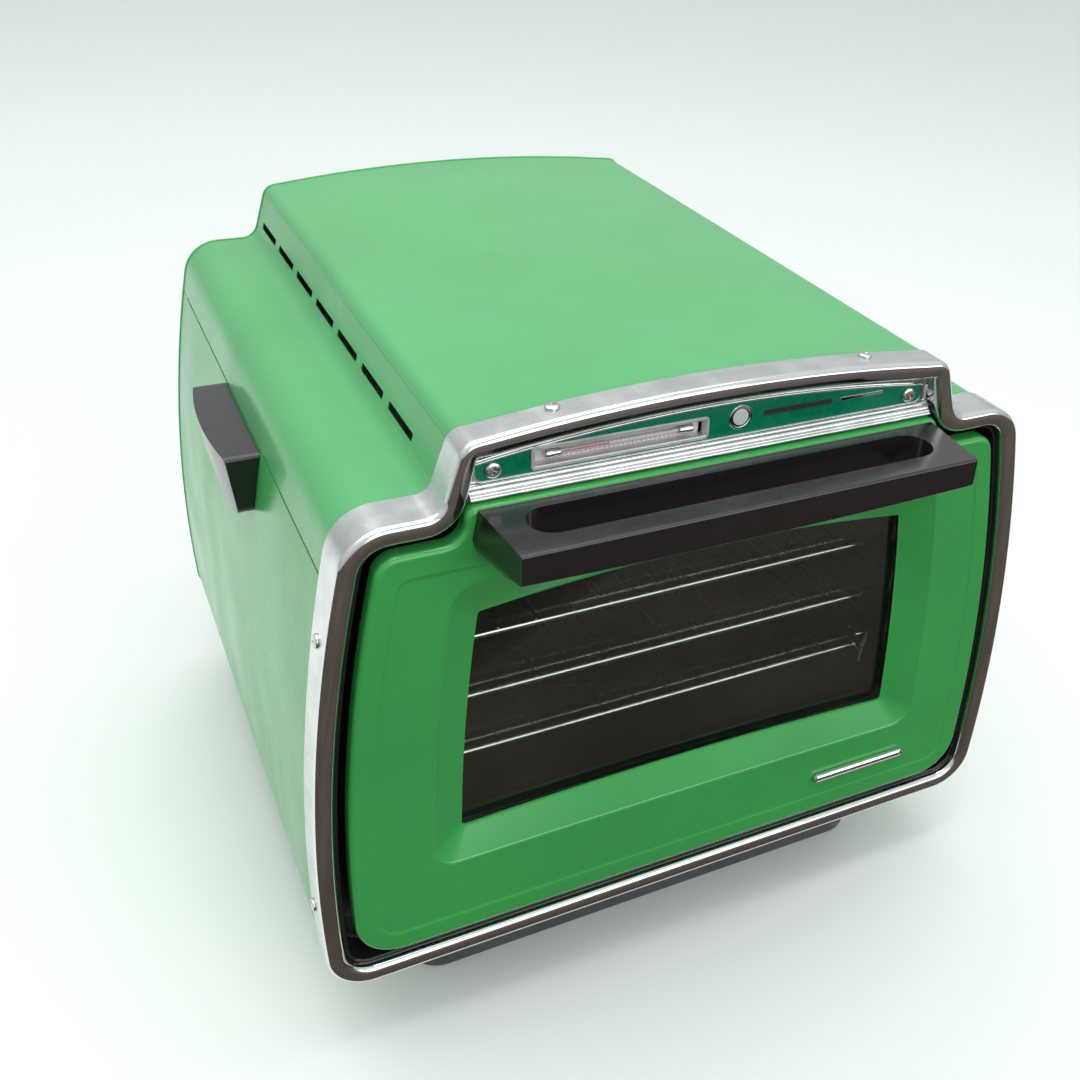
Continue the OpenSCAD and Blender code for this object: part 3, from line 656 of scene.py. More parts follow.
def window_glass(name, tint, veil, mirror):
    """Clear glass: see-through under a thin veil, with a mirror that grows towards the edge-on view."""
    look = Look(name, (0.88, 0.90, 0.90), 0.02, 1.0)
    smear = look.noise(70, 2, distortion=0.3)
    look.use_roughness(look.spread(smear, 0.4, 0.75, 0.01, 0.05))
    patches = look.spread(smear, 0.3, 0.8, 0, 1)
    look.use_color(look.paint(patches, look.shade(0.85), look.shade(1.05)))
    look.bump((look.noise(120, 1), 0.03))
    through = look.nodes.new("ShaderNodeBsdfTransparent")
    through.inputs["Color"].default_value = (*tint, 1)
    rim = look.nodes.new("ShaderNodeFresnel")
    rim.inputs["IOR"].default_value = 1.5
    mix = look.nodes.new("ShaderNodeMixShader")
    look.link(look.math("ADD", look.math("MULTIPLY", rim.outputs["Fac"], mirror), veil), mix.inputs["Fac"])
    look.link(through.outputs["BSDF"], mix.inputs[1])
    look.link(look.shader.outputs["BSDF"], mix.inputs[2])
    look.link(mix.outputs["Shader"], look.nodes["Material Output"].inputs["Surface"])
    return look.material


def rope(name):
    """Braided glass-fibre rope."""
    look = Look(name, (0.50, 0.47, 0.42), 0.85)
    strands = look.nodes.new("ShaderNodeTexWave")
    strands.inputs["Scale"].default_value = 260
    strands.inputs["Distortion"].default_value = 3
    strands.bands_direction = "DIAGONAL"
    look.link(look.place, strands.inputs["Vector"])
    # The strand bands make the rope darker in the grooves and lighter on the strands' crowns, following the
    # bump: painted shade and painted highlight.
    look.use_color(look.paint(strands.outputs["Fac"], look.shade(0.55), look.shade(1.15)))
    look.bump((strands.outputs["Fac"], 0.35), (look.noise(0.8, 3), 0.1))
    return look.material


def card(name, color, roughness=0.6):
    """Printed card or paint, faintly uneven."""
    look = Look(name, color, roughness)
    look.use_color(look.clouds((4, 4), 0.3, 0.7, 0.88, 1.06))
    look.bump((look.noise(0.5, 3), 0.01))
    return look.material


# One enamel in four copies. The top's is made paler as painted sheen from the light that falls on it from
# above. The door's is deeper, with less of that sheen, and the side and back lie between.
TOP_GREEN = enamel("top_green_enamel", (0.080, 0.395, 0.138))
SIDE_GREEN = enamel("side_green_enamel", (0.066, 0.375, 0.110), 0.24, 0.06)
REAR_GREEN = enamel("rear_green_enamel", (0.07, 0.385, 0.115), 0.32, 0.2)
DOOR_GREEN = enamel("door_green_enamel", (0.05, 0.385, 0.088), 0.2, 0.4)
CHROME = chrome("frame_chrome")
BAND_CHROME = hazed_chrome("frame_band_chrome")
ALUMINIUM = aluminium("bright_aluminium")
SATIN = aluminium("satin_aluminium", 0.5)
FOIL = green_foil("green_foil")
BLACK_PLASTIC = bakelite("bakelite")
BASE_ENAMEL = dark_enamel("base_enamel", (0.050, 0.058, 0.056), 0.45, 2.2)
OVEN_ENAMEL = dark_enamel("oven_enamel", (0.022, 0.021, 0.021), 0.36, 2.5)
JAMB_BLACK = dark_enamel("jamb_black", (0.012, 0.014, 0.013), 0.22, 1.6)
PAN_BLACK = dark_enamel("door_pan_enamel", (0.03, 0.032, 0.032), 0.34, 3.0)
SCREW_STEEL = steel("screw_steel", (0.74, 0.73, 0.71), 0.22)
ZINC = steel("zinc_sheet", (0.50, 0.51, 0.51), 0.38)
RACK_CHROME = rack_chrome("rack_chrome")
OVEN_GLASS = window_glass("oven_glass", (0.93, 0.95, 0.94), 0.008, 0.4)
TUBE_GLASS = window_glass("tube_glass", (0.97, 0.99, 0.98), 0.02, 0.5)
ROPE = rope("rope_gasket")
SCALE_CARD = card("scale_card", (0.80, 0.71, 0.71))
INK = card("black_ink", (0.02, 0.02, 0.02), 0.5)
PALE_ENAMEL = card("pale_enamel", (0.62, 0.70, 0.66), 0.3)
RED_THREAD = card("red_thread", (0.45, 0.02, 0.02), 0.3)
BRASS = steel("brass_stem", (0.62, 0.47, 0.24), 0.3)


# ---- Casing ----
def outline_spots():
    """Places of the frame's screws on the band, with Z out of the surface."""
    spots = []
    for s in (1, -1):
        lean = asin(CROWN_SCREW_X / CROWN_R)
        spots.append((s * CROWN_SCREW_X, CROWN_C + CROWN_R * cos(lean), s * lean))
        for z in (SHOULDER_Z - 58.5, SIDE_Z):
            a = asin((z - SIDE_Z) / SIDE_R)
            spots.append((s * (SIDE_X + SIDE_R * cos(a)), z, s * (pi / 2 - a)))
    return [Matrix.Translation((x, 13, z)) @ Matrix.Rotation(turn, 4, "Y") for x, z, turn in spots]


def band_depth(x):
    """Depth of the band's rear edge: further back over the shoulders than over the hump."""
    plan = ((0, 17), (122, 17), (136, 21.5), (148, 24.5), (180, 25), (192, 23), (205, 20), (260, 20))
    for (x0, d0), (x1, d1) in zip(plan, plan[1:]):
        if abs(x) <= x1:
            return d0 + (d1 - d0) * (abs(x) - x0) / (x1 - x0)


def chrome_frame():
    """Frame: a flat band, a rounded nose and a flank that rolls in towards the door."""
    shape = Shape()
    rear = [shape.add([(x, band_depth(x), z) for x, z in body(i)]) for i in (0, 0.7)]
    profile = [(0, 12), (0, 7)] + arc(3.0, 3.2, 3.0, 180, 270, 8)
    band = len(profile) - 6
    profile += [(4.0, 0.08), (5.0, 0.08), (6.0, 0.3)]
    profile += arc(6.4, 4.4, 4.0, 280, 360, 8) + [(10.4, 6), (10.4, 11), (9.8, 11), (9.8, 4.8), (8, 2)]
    profile += [(6, 1.1), (3.2, 1.1), (0.8, 3.6), (0.7, 12)]
    rows = [rear[0], *shape.rings(body, profile), rear[1]]
    shape.loft(rows[:band], finish=1)
    shape.loft(rows[band - 1 :])
    shape.skin(rows[-1], rows[0], finish=1)
    make("chrome_frame", shape, "case", "chrome", (CHROME, BAND_CHROME), ["front_frame"], sharp=40)


def jamb_ring(shape, i, depth):
    """The jamb's outline: narrower beside the door's neck, and set back behind the name plate."""
    outer, wide, narrow, hidden = body(0), body(i), body(min(i, 11.2)), body(min(i, 10.5))
    points = []
    for (x0, z0), (x, z), (nx, nz), (hx, hz) in zip(outer, wide, narrow, hidden):
        if z0 > SHOULDER_Z + 4:
            points.append((hx, max(depth, 12.7), hz))
        elif z0 > SHOULDER_Z - 1 and abs(x0) < 152:
            points.append((nx, depth, nz))
        else:
            points.append((x, depth, z))
    return shape.add(points)


def jamb_and_wall():
    """Black jamb between the frame and the door, and the wall round the oven's mouth."""
    shape = Shape()
    profile = [(10.45, WALL_D + 0.3), (10.45, 6.6), (10.7, 6.2), (11.9, 6.0), (12.6, 6.1), (12.8, 6.5)]
    profile += [(12.8, 19.5), (13.2, 21.3), (14.5, WALL_D)]
    rows = [jamb_ring(shape, i, d) for i, d in profile[:-1]] + [shape.ring(body(14.5), WALL_D)]
    shape.loft(rows)
    lip = shape.rings(mouth, ((-1.2, WALL_D), (-0.3, WALL_D + 0.2), (0, WALL_D + 0.9)))
    shape.cap(rows[-1], lip[0])
    shape.loft(lip)
    edge = shape.rings(body, ((3.4, WALL_D + 0.9), (3.4, WALL_D + 0.3)))
    shape.cap(edge[0], lip[-1], facing=BACKWARDS)
    shape.loft([*edge, rows[0]])
    make("front_wall", shape, "case", "black_sheet", (JAMB_BLACK,), ["front_bulkhead"])


def top_cover():
    """Cover with folded hems along the seam and a row of slots in each slope."""
    shape = Shape()
    x0 = side_half(COVER_I, SEAM_Z + 0.4)[0][0]
    hem = [(x0 - x, SEAM_Z + z) for x, z in HEM]
    low = hem + side_half(COVER_I, SEAM_Z + 1) + foot_half(COVER_I)
    high = crown_half(COVER_I)
    foot, lip = Vector(low[-1]), Vector(high[0])
    up = (lip - foot).normalized()
    middle = foot + up * VENT_RISE
    parts = (low, high + flipped(high[:-1]), flipped(low))
    right, crown, left = ([shape.ring(part, d) for d in COVER_ROWS] for part in parts)
    for strip in (right, crown, left):
        shape.loft(strip, closed=False)
    vent = rounded(-VENT_L / 2, VENT_L / 2, -VENT_H / 2, VENT_H / 2, VENT_R, 3)
    slot = [(u, middle + up * v) for u, v in vent]
    for s, k, strip in ((1, -1, right), (-1, 0, left)):
        edge, other = [row[k] for row in strip], [row[-1 - k] for row in reversed(crown)]
        depths = [VENT_D + VENT_PITCH * n for n in range(-3, 4)]
        holes = [shape.add([(s * p.x, d + u, p.y) for u, p in slot]) for d in depths]
        shape.cap(edge + other, *holes, facing=(s * cosd(LEAN), 0, sind(LEAN)))
    make("top_cover_shell", shape, "case", "green_enamel_top", (TOP_GREEN,), ["top_cover"], sheet=0.6)


def side_panel(s, name, node):
    """Side panel: folded in at the base and hemmed along the seam."""
    shape = Shape()
    x0, z0 = BASE_W / 2 + 2, UNDER_Z + COVER_I
    edge = side_half(COVER_I, None, SEAM_Z - 1)
    hem = [(edge[-1][0] - x, SEAM_Z - z) for x, z in reversed(HEM)]
    half = [(x0, z0 + 1.6), (x0 + 0.3, z0 + 0.4), (x0 + 1.3, z0)] + edge + hem
    points = half if s > 0 else flipped(half)
    shape.loft([shape.ring(points, d) for d in COVER_ROWS], closed=False)
    make(name, shape, "case", "green_enamel_side", (SIDE_GREEN,), [node], sheet=0.6)


def rear_panel():
    """Back panel: turned edge, a shallow pressed field and a row of slots."""
    shape = Shape()
    turned = ((2.05, 15), (2.05, 0.75), (1.3, 0.7), (1.2, 0.4), (1.4, 0.1), (2.0, 0))
    edge = [shape.ring(body(i), BODY_D - d) for i, d in turned]

    def pressed(i):
        return barrel(BODY_W / 2 - 32, SIDE_R, UNDER_Z + 30, SHOULDER_Z - 40, 20, 16, i)

    step = [shape.ring(pressed(i), BODY_D - d) for i, d in ((0, 0), (0.8, 0.15), (2.2, 1.35), (3, 1.5))]
    slot = rounded(-10, 10, 318, 322, 1.9, 4)
    slots = [shape.ring([(24 * k + x, z) for x, z in slot], BODY_D) for k in range(-3, 4)]
    shape.loft(edge)
    shape.cap(edge[-1], step[0], *slots, facing=BACKWARDS)
    shape.loft(step)
    shape.cap(step[-1], facing=BACKWARDS)
    make("rear_panel_pressing", shape, "case", "green_enamel_rear", (REAR_GREEN,), ["rear_panel"], sheet=0.6)


def base_skirt():
    """Pressed base: rolled foot, a bead below the top and an inner flange."""
    shape = Shape()
    top = BASE_TOP - 0.1
    profile = [(10, 0.05), (3.4, 0)] + [(3.4 + x, 3.4 + z) for x, z in arc(0, 0, 3.4, 270, 180, 6)]
    profile += [(0, 20), (0, 44), (1.0, 46), (1.0, 50), (1.4, BASE_TOP - 1.2), (2.6, top), (18, top)]
    rows = []
    for i, z in profile:
        hx, hy = BASE_W / 2 - i, BASE_D / 2 - i
        outline = rounded(-hx, hx, -hy, hy, max(20 - i, 3), 10)
        rows.append(shape.add([(x, MID_D + y, z) for x, y in outline]))
    shape.loft(rows)
    make("base_pressing", shape, "case", "dark_enamel", (BASE_ENAMEL,), ["base_skirt"], sheet=0.9)


# ---- Screws ----
def screw_blank(r):
    """One pan head with a cross recess, its underside on the origin."""
    head, cross = Shape(), Shape()
    rim = [(1.4, -2), (1.4, 0), (r - 0.2, 0), (r, 0.2), (r, 0.75)]
    dome = [(r * cosd(a) ** 0.7, 0.75 + 1.04 * sind(a)) for a in (20, 38, 55, 72)]
    head.lathe(rim + dome + [(0.2, 1.79)], Matrix.Identity(4), 28)
    for turn in (0, 90):
        spin = Matrix.Rotation(radians(turn), 4, "Z")
        rows = []
        for a, b, z in ((r * 0.30, 0.28, 0.75), (r * 0.68, 0.52, 2.3)):
            corners = ((-a, -b), (a, -b), (a, b), (-a, b))
            rows.append(cross.add([tuple(spin @ Vector((x, y, z))) for x, y in corners]))
        cross.bar(rows)
    blank, recess = mesh_of("blank", head), mesh_of("recess", cross)
    subtract(blank, recess, use_self=True)
    applied(blank)
    bpy.data.objects.remove(recess)
    return blank


def screw_set(name, node, places, r=3.6):
    """Pan-head screws, each turned further than the one before."""
    blank = screw_blank(r)
    spots = [(v.co - Vector((0, FRONT, 0))) / MM for v in blank.data.vertices]
    shape = Shape()
    for k, place in enumerate(places):
        spin = place @ Matrix.Rotation(radians(25 + 47 * k), 4, "Z")
        first = shape.add([tuple(spin @ spot) for spot in spots])[0]
        for polygon in blank.data.polygons:
            shape.face([first + v for v in polygon.vertices])
    bpy.data.objects.remove(blank)
    make(name, shape, "case", "steel_screw", (SCREW_STEEL,), [node], sharp=30)


def facing(s, x, depth, z):
    """A place on the front (s is 1) or the back (s is -1), with Z pointing out of it."""
    return Matrix.Translation((x, depth, z)) @ Matrix.Rotation(s * pi / 2, 4, "X")


def screws():
    screw_set("band_screws", "frame_screws", outline_spots())
    plate = [facing(1, s * 113.3, PLATE_D, PLATE_Z0 + 3.8) for s in (1, -1)]
    screw_set("plate_screws", "fascia_screws", plate, 3.9)
    spots = ((60, CROWN_Z - 14), (178, SHOULDER_Z - 34), (194, 180), (150, UNDER_Z + 14))
    back = [facing(-1, s * x, BODY_D, z) for s in (1, -1) for x, z in spots]
    screw_set("back_screws", "rear_screws", back)


# ---- Name plate ----
def tray():
    """Bright tray behind the name plate, with curved ends and an opening for the thermometer."""
    shape = Shape()
    z0 = DOOR_TOP + 1.4
    profile = [(10.3, 5.0), (10.45, 5.0), (10.5, 8)]
    profile += [(10.5 + 3.2 * (1 - cosd(a)), 8 + 3.2 * sind(a)) for a in (20, 40, 60, 80, 90)]
    rows = [shape.ring(hump(i, z0), d) for i, d in profile]
    shape.loft(rows)
    shape.cap(rows[-1])
    hole = Shape()
    hw, hh = THERMO_HW - 1, THERMO_HH - 1
    hole.block(THERMO_X - hw, THERMO_X + hw, 4, 30, THERMO_Z - hh, THERMO_Z + hh)
    looks, cuts = (ALUMINIUM,), [cutter(hole)]
    make("plate_tray", shape, "case", "ribbed_aluminium", looks, ["fascia_carrier"], cuts=cuts, sheet=0.5)


def plate_outline(i):
    """The name plate: a straight lower edge under an arch."""
    r, arch = 4.6 - i, SIDE_R - i
    low = PLATE_Z0 - 2.2
    half = [(0, low + i)] + arc(PLATE_HW - 4.6, low + 4.6, r, -90, 0, 6)
    centre = PLATE_Z1 - SIDE_R
    full = arc(PLATE_HW - 4.6, PLATE_Z0 + 6.0, 4.6, 0, 90, 8)
    keep = sum(hypot(x, z - centre) < SIDE_R - 0.15 for x, z in full)
    inside = arc(PLATE_HW - 4.6, PLATE_Z0 + 6.0, r, 0, 90, 8)[:keep]
    half += inside
    start = degrees(acos((inside[-1][0] - 1.2) / arch))
    return mirrored(half + arc(0, centre, arch, start, 90, 16))


def thermo_window(i, r, steps):
    """The outline of the thermometer's frame, inset by i."""
    hw, hh = THERMO_HW - i, THERMO_HH - i
    return rounded(THERMO_X - hw, THERMO_X + hw, THERMO_Z - hh, THERMO_Z + hh, r, steps)


def name_plate():
    """Green plate with a bright border, a thermometer opening, and plain bars where wording was."""
    shape = Shape()
    d = PLATE_D
    edge = ((0, 1.1), (0, 0.4), (0.15, 0.1), (0.4, 0), (0.95, 0), (1.1, 0.12))
    rim = shape.rings(plate_outline, [(i, d + e) for i, e in edge])
    shape.loft(rim)
    opening = [shape.ring(thermo_window(1.6, 1.2, 3), d + e) for e in (0.12, 1.1)]
    shape.cap(rim[-1], opening[0], finish=1)
    shape.loft(opening, finish=1)
    shape.cap(rim[0], opening[1], facing=BACKWARDS, finish=1)
    z = PLATE_Z0 + 7.9
    for x0, x1, half, finish in ((26, 66, 1.5, 2), (71, 97, 1.0, 0)):

        def bar(i):
            return rounded(x0 + i, x1 - i, z - half + i, z + half - i, half - 0.3 - i, 4)

        shape.prism(bar, d - 0.02, d + 0.2, 0.12, finish)
    make("name_plate", shape, "case", "green_foil", (ALUMINIUM, FOIL, INK), ["fascia_plate"])


def emblem():
    """Plain round emblem: a rim and a domed centre."""
    shape = Shape()
    x, z = (sum(span("fascia_ring", axis)) / 2 for axis in (0, 2))
    r = span("fascia_ring", 0)[1] - x
    place = facing(1, x, PLATE_D + 0.1, z)
    rim = [(0, -0.1), (0, 0.35), (0.25, 0.55), (0.95, 0.55), (1.15, 0.35), (1.2, 0.12)]
    dome = [(2.2, -0.1), (2.2, 0.3), (2.5, 0.48), (4, 0.58)]
    shape.lathe([(r - i, h) for i, h in rim] + [(0.3, 0.12)], place, 48)
    shape.lathe([(r - i, h) for i, h in dome] + [(0.2, 0.6)], place, 48, 1)
    looks = (ALUMINIUM, PALE_ENAMEL)
    make("round_emblem", shape, "case", "ribbed_aluminium", looks, ["fascia_ring"])


def ribbed_strip():
    """Sloping bright strip between the plate and the door: one broad rib among narrow ones."""
    shape = Shape()
    hl = span("trim_strip", 0)[1]
    a, b = Vector((4.6, DOOR_TOP + 1.5)), Vector((10, DOOR_TOP + 6.1))
    out = Vector((-(b - a).y, (b - a).x)).normalized()
    face = []
    ribs = ((0, 0.17, 0.35), (0.17, 0.36, 0.5), (0.36, 0.78, 0.85), (0.78, 1, 0.4))
    for start, end, height in ribs:
        for k in range(12):
            t = k / 12
            rise = height * sin(pi * t) ** 0.6
            face.append(a + (b - a) * (start + (end - start) * t) + out * rise)
    face.append(b)
    section = [(4.0, DOOR_TOP + 1.3), *face, (10.6, DOOR_TOP + 6.1), (10.6, DOOR_TOP + 1.3)]
    shape.bar([shape.add([(x, d, z) for d, z in section]) for x in (-hl, -hl / 2, 0, hl / 2, hl)])
    make("ribbed_strip", shape, "case", "ribbed_aluminium", (ALUMINIUM,), ["trim_strip"], sharp=50)


def bezel():
    """Bright rim of the thermometer's window."""
    d = span("thermometer_frame", 1)[0]
    shape = Shape()
    outside = ((0, 0.75), (0, 0.35), (0.3, 0.05), (0.9, 0), (1.5, 0.05))
    inside = ((1.9, 0.4), (2.0, 5), (1.7, 5), (1.5, 0.8))
    rows = [shape.ring(thermo_window(i, max(2.4 - i, 0.5), 6), d + e) for i, e in outside + inside]
    shape.loft([*rows, rows[0]])
    make("thermometer_bezel", shape, "case", "bright_clip", (SATIN,), ["thermometer_frame"])


def scale():
    """Card behind the tube, with plain ticks."""
    shape = Shape()
    d = span("thermometer_scale", 1)[0]

    def edge(i):
        hw, hh = 42 - i, 3.9 - i
        return rounded(THERMO_X - hw, THERMO_X + hw, THERMO_Z - hh, THERMO_Z + hh, 0.8, 3)

    shape.prism(edge, d, d + 0.7, 0.15)
    for k in range(27):
        long = k % 5 == 1
        marks = [(-0.13, 0.13, -3.5, -1.7 if long else -2.5)]
        if long:
            marks += [(-0.9, -0.3, 2.2, 3.2), (0.2, 0.8, 2.2, 3.2)]
        x = THERMO_X - 31 + 62 * k / 26
        for x0, x1, z0, z1 in marks:
            shape.block(x + x0, x + x1, d - 0.05, d + 0.1, THERMO_Z + z0, THERMO_Z + z1, 1)
    make("scale_card", shape, "case", "scale_card", (SCALE_CARD, INK), ["thermometer_scale"])


def glass_tube():
    """Glass tube with a red thread and a strip of paper inside, held by two clips."""
    x0, x1 = span("thermometer_tube", 0)
    d, z = (sum(span("thermometer_tube", axis)) / 2 for axis in (1, 2))
    r = span("thermometer_tube", 2)[1] - z
    along = Matrix.Translation((x0, d, z)) @ Matrix.Rotation(pi / 2, 4, "Y")
    long = x1 - x0
    glass, thread, paper, clips = Shape(), Shape(), Shape(), Shape()
    end = [(0.2, 0), (0.7 * r, 0.3), (r, 1.2)]
    glass.lathe(end + [(w, long - h) for w, h in reversed(end)], along, 24)
    make("thermometer_glass", glass, "case", "tube_glass", (TUBE_GLASS,), ["thermometer_tube"])
    bulb = [(0.1, 1.4), (0.9, 2.2), (0.9, 5), (0.62, 6.2)]
    thread.lathe(bulb + [(0.62, long * 0.42), (0.1, long * 0.42 + 0.5)], along, 16)
    make("thermometer_thread", thread, "case", "tube_glass", (RED_THREAD,))
    paper.block(THERMO_X - 30, THERMO_X + 30, d - 0.5, d - 0.2, z - 0.72 * r, z + 0.72 * r)
    for k in range(25):
        x = THERMO_X - 26 + 52 * k / 24
        low = z + (0.0 if k % 6 == 0 else 0.3 * r)
        paper.block(x - 0.1, x + 0.1, d - 0.56, d - 0.5, low, z + 0.66 * r, 1)
    make("thermometer_paper", paper, "case", "scale_card", (SCALE_CARD, INK))
    bulge = ((0.1, -3.6), (0.35, -3.7), (0.7, -3.1), (0.75, -1), (1.1, 0.6))
    bulge += ((1.15, 2.4), (0.8, 3.6), (0.1, 4.1), (-0.4, 4.2))
    for s in (-1, 1):
        place = Matrix.Translation((THERMO_X + s * 34, d, z)) @ Matrix.Rotation(s * pi / 2, 4, "Y")
        clips.lathe([(r + w, h) for w, h in bulge], place, 28)
    make("thermometer_clips_bright", clips, "case", "bright_clip", (CHROME,), ["thermometer_clips"])


# ---- Door ----
def hinge_gaps():
    """Room in the door's lower edge for the hinge brackets."""
    gaps = []
    for s in (-1, 1):
        shape = Shape()
        x = s * HINGE_X
        shape.block(x - 10, x + 10, 1.6, 30, DOOR_BOTTOM - 3, DOOR_BOTTOM + 9.5)
        gaps.append(cutter(shape))
    return gaps


def door_skin():
    """Pressed door: rounded edge, shallow field, and the slope that falls to the window."""
    shape = Shape()
    f = DOOR_FACE
    turns = (15, 30, 45, 60, 75, 90)
    edge = [(0, 9), (0, f + 3)] + [(3 * (1 - cosd(a)), f + 3 * (1 - sind(a))) for a in turns]
    rim = shape.rings(door, edge)
    crease = shape.rings(field, [(i, f + d) for i, d in ((0, 0), (0.5, 0.06), (1.6, 0.5), (2.2, 0.58))])
    shape.loft(rim)
    shape.cap(rim[-1], crease[0])
    shape.loft(crease)
    high = ((-1.4, 0.58), (-0.5, 0.66), (0.2, 1.0), (0.7, 1.45))
    brow = shape.rings(slope_edge, [(i, f + d) for i, d in high])
    shape.cap(crease[-1], brow[0])
    low = ((-0.9, -0.55), (-0.35, -0.15), (0.3, 0), (1.0, 0.05), (1.0, 0.5))
    foot = shape.rings(window, [(i, GLASS_D - 0.7 + d) for i, d in low])
    shape.loft([*brow, *foot])
    looks, cuts = (DOOR_GREEN,), hinge_gaps()
    make("door_pressing", shape, "door", "green_enamel_door", looks, ["door_outer"], cuts=cuts, sheet=0.85)


def door_pan():
    """Inner pan of the door with a pressed bead round the window."""
    shape = Shape()
    back = DOOR_BACK
    flange = ((1.3, 8.3), (1.3, 9.0), (9.6, 9.05), (10.0, 9.5), (10.1, 18))
    outer = shape.rings(door, flange + ((10.7, back - 0.5), (12, back)))
    lip = shape.rings(window, ((-4.2, back), (-2.6, back - 0.4), (-2, back - 1.4), (-2, back - 3.6)))
    shape.loft(outer[::-1])
    shape.cap(outer[-1], lip[0], facing=BACKWARDS)
    shape.loft(lip[::-1])
    cuts = hinge_gaps()
    make("door_pan", shape, "door", "dark_enamel", (PAN_BLACK,), ["door_inner"], cuts=cuts, sheet=0.7)


def rope_gasket():
    shape = Shape()
    centre = DOOR_BACK + 1.05
    rows = [shape.ring(mouth(-4 + 2.9 * cosd(a)), centre + 0.9 * sind(a)) for a in range(0, 360, 30)]
    shape.loft([*rows, rows[0]])
    make("rope_gasket", shape, "case", "rope_gasket", (ROPE,), ["door_gasket"])


def badge():
    """Plain bright bar with rounded ends in place of lettering."""
    x0, x1 = span("door_badge", 0)
    z0, z1 = span("door_badge", 2)
    d0, d1 = span("door_badge", 1)
    shape = Shape()

    def bar(i):
        return rounded(x0 + i, x1 - i, z0 + i, z1 - i, (z1 - z0) / 2 - i - 0.02, 8)

    edge = ((0, d1), (0, d0 + 0.9), (0.25, d0 + 0.3), (0.8, d0))
    face = ((1.2, d0 + 0.1), (1.5, d0 + 0.5), (1.9, d0 + 0.55), (2.2, d0 + 0.35))
    rows = shape.rings(bar, edge + face)
    shape.loft(rows)
    shape.cap(rows[-1])
    shape.cap(rows[0], facing=BACKWARDS)
    make("door_bar_badge", shape, "door", "chrome", (CHROME,), ["door_badge"])


def door_handle():
    """Moulded bar: its ends draw in, its lower corners are rounded and a long slot runs through it."""
    z, f = HANDLE_Z, HANDLE_D
    back = DOOR_FACE - 0.05
    corners = [(back, z), (f, z), (f, z - 15.2), (f + 20, z - 22.4), (f + 34, z - 24.9), (back, z - 26)]
    section = filleted(corners, (0.1, 1.4, 2.4, 14, 20, 0.1), 5)

    def half_length(d, h):
        """The ends flare towards the bottom and draw in towards the front."""
        flare = HANDLE_HL - 3 + 3 * min(max((z - h) / 13, 0), 1)
        return min(flare, HANDLE_HL - 0.16 * (back - d))

    half = [HANDLE_HL - CORNER_R * (1 - cosd(a)) for a in range(0, 91, 10)] + [80, 40]
    shape = Shape()
    rows = []
    for x in half + [0] + [-x for x in reversed(half)]:
        past = abs(x) - HANDLE_HL + CORNER_R
        low = z - 14 - sqrt(max(CORNER_R**2 - past**2, 0)) if past > 0 else z - 40
        keel = 1.8 * (1 - (x / HANDLE_HL) ** 2)
        spots = []
        for d, h in section:
            dipped = h - keel * min((z - h) / 15, 1)
            spots.append((x * half_length(d, h) / HANDLE_HL, d, max(dipped, low, z - 26)))
        rows.append(shape.add(spots))
    shape.bar(rows)
    slot = Shape()
    middle, half_w, half_l = f + 24.0, 11.5, 108
    outline = rounded(-half_l, half_l, middle - half_w, middle + half_w, half_w - 0.01, 12)
    slot.bar([slot.add([(x, d, h) for x, d in outline]) for h in (z - 40, z + 10)])
    looks, edges = (BLACK_PLASTIC,), {"bevel": 1.1, "sharp": 40, "limit": 48}
    make("door_handle_bar", shape, "door", "bakelite", looks, ["door_handle"], cuts=[cutter(slot)], **edges)


# ---- Carrying handles ----
BOW_R, ARCH_R, ARCH_DROP, GRIP_LOW_R, GRIP_TOP_R = 260, 31, 14, 6, 2.5
ARCH_HW = sqrt(ARCH_R**2 - ARCH_DROP**2)


def grip_limits(v, half, z0, z1):
    """Lowest and highest point of the grip at a distance v from its middle."""
    past_low, past_high = abs(v) - half + GRIP_LOW_R, abs(v) - half + GRIP_TOP_R
    low, high = z0, z1
    if abs(v) < ARCH_HW + 1e-6:
        low = z0 - ARCH_DROP + sqrt(max(ARCH_R**2 - v * v, 0))
    if past_low > 0:
        low = z0 + GRIP_LOW_R - sqrt(max(GRIP_LOW_R**2 - past_low**2, 0))
    if past_high > 0:
        high = z1 - GRIP_TOP_R + sqrt(max(GRIP_TOP_R**2 - past_high**2, 0))
    return low, high


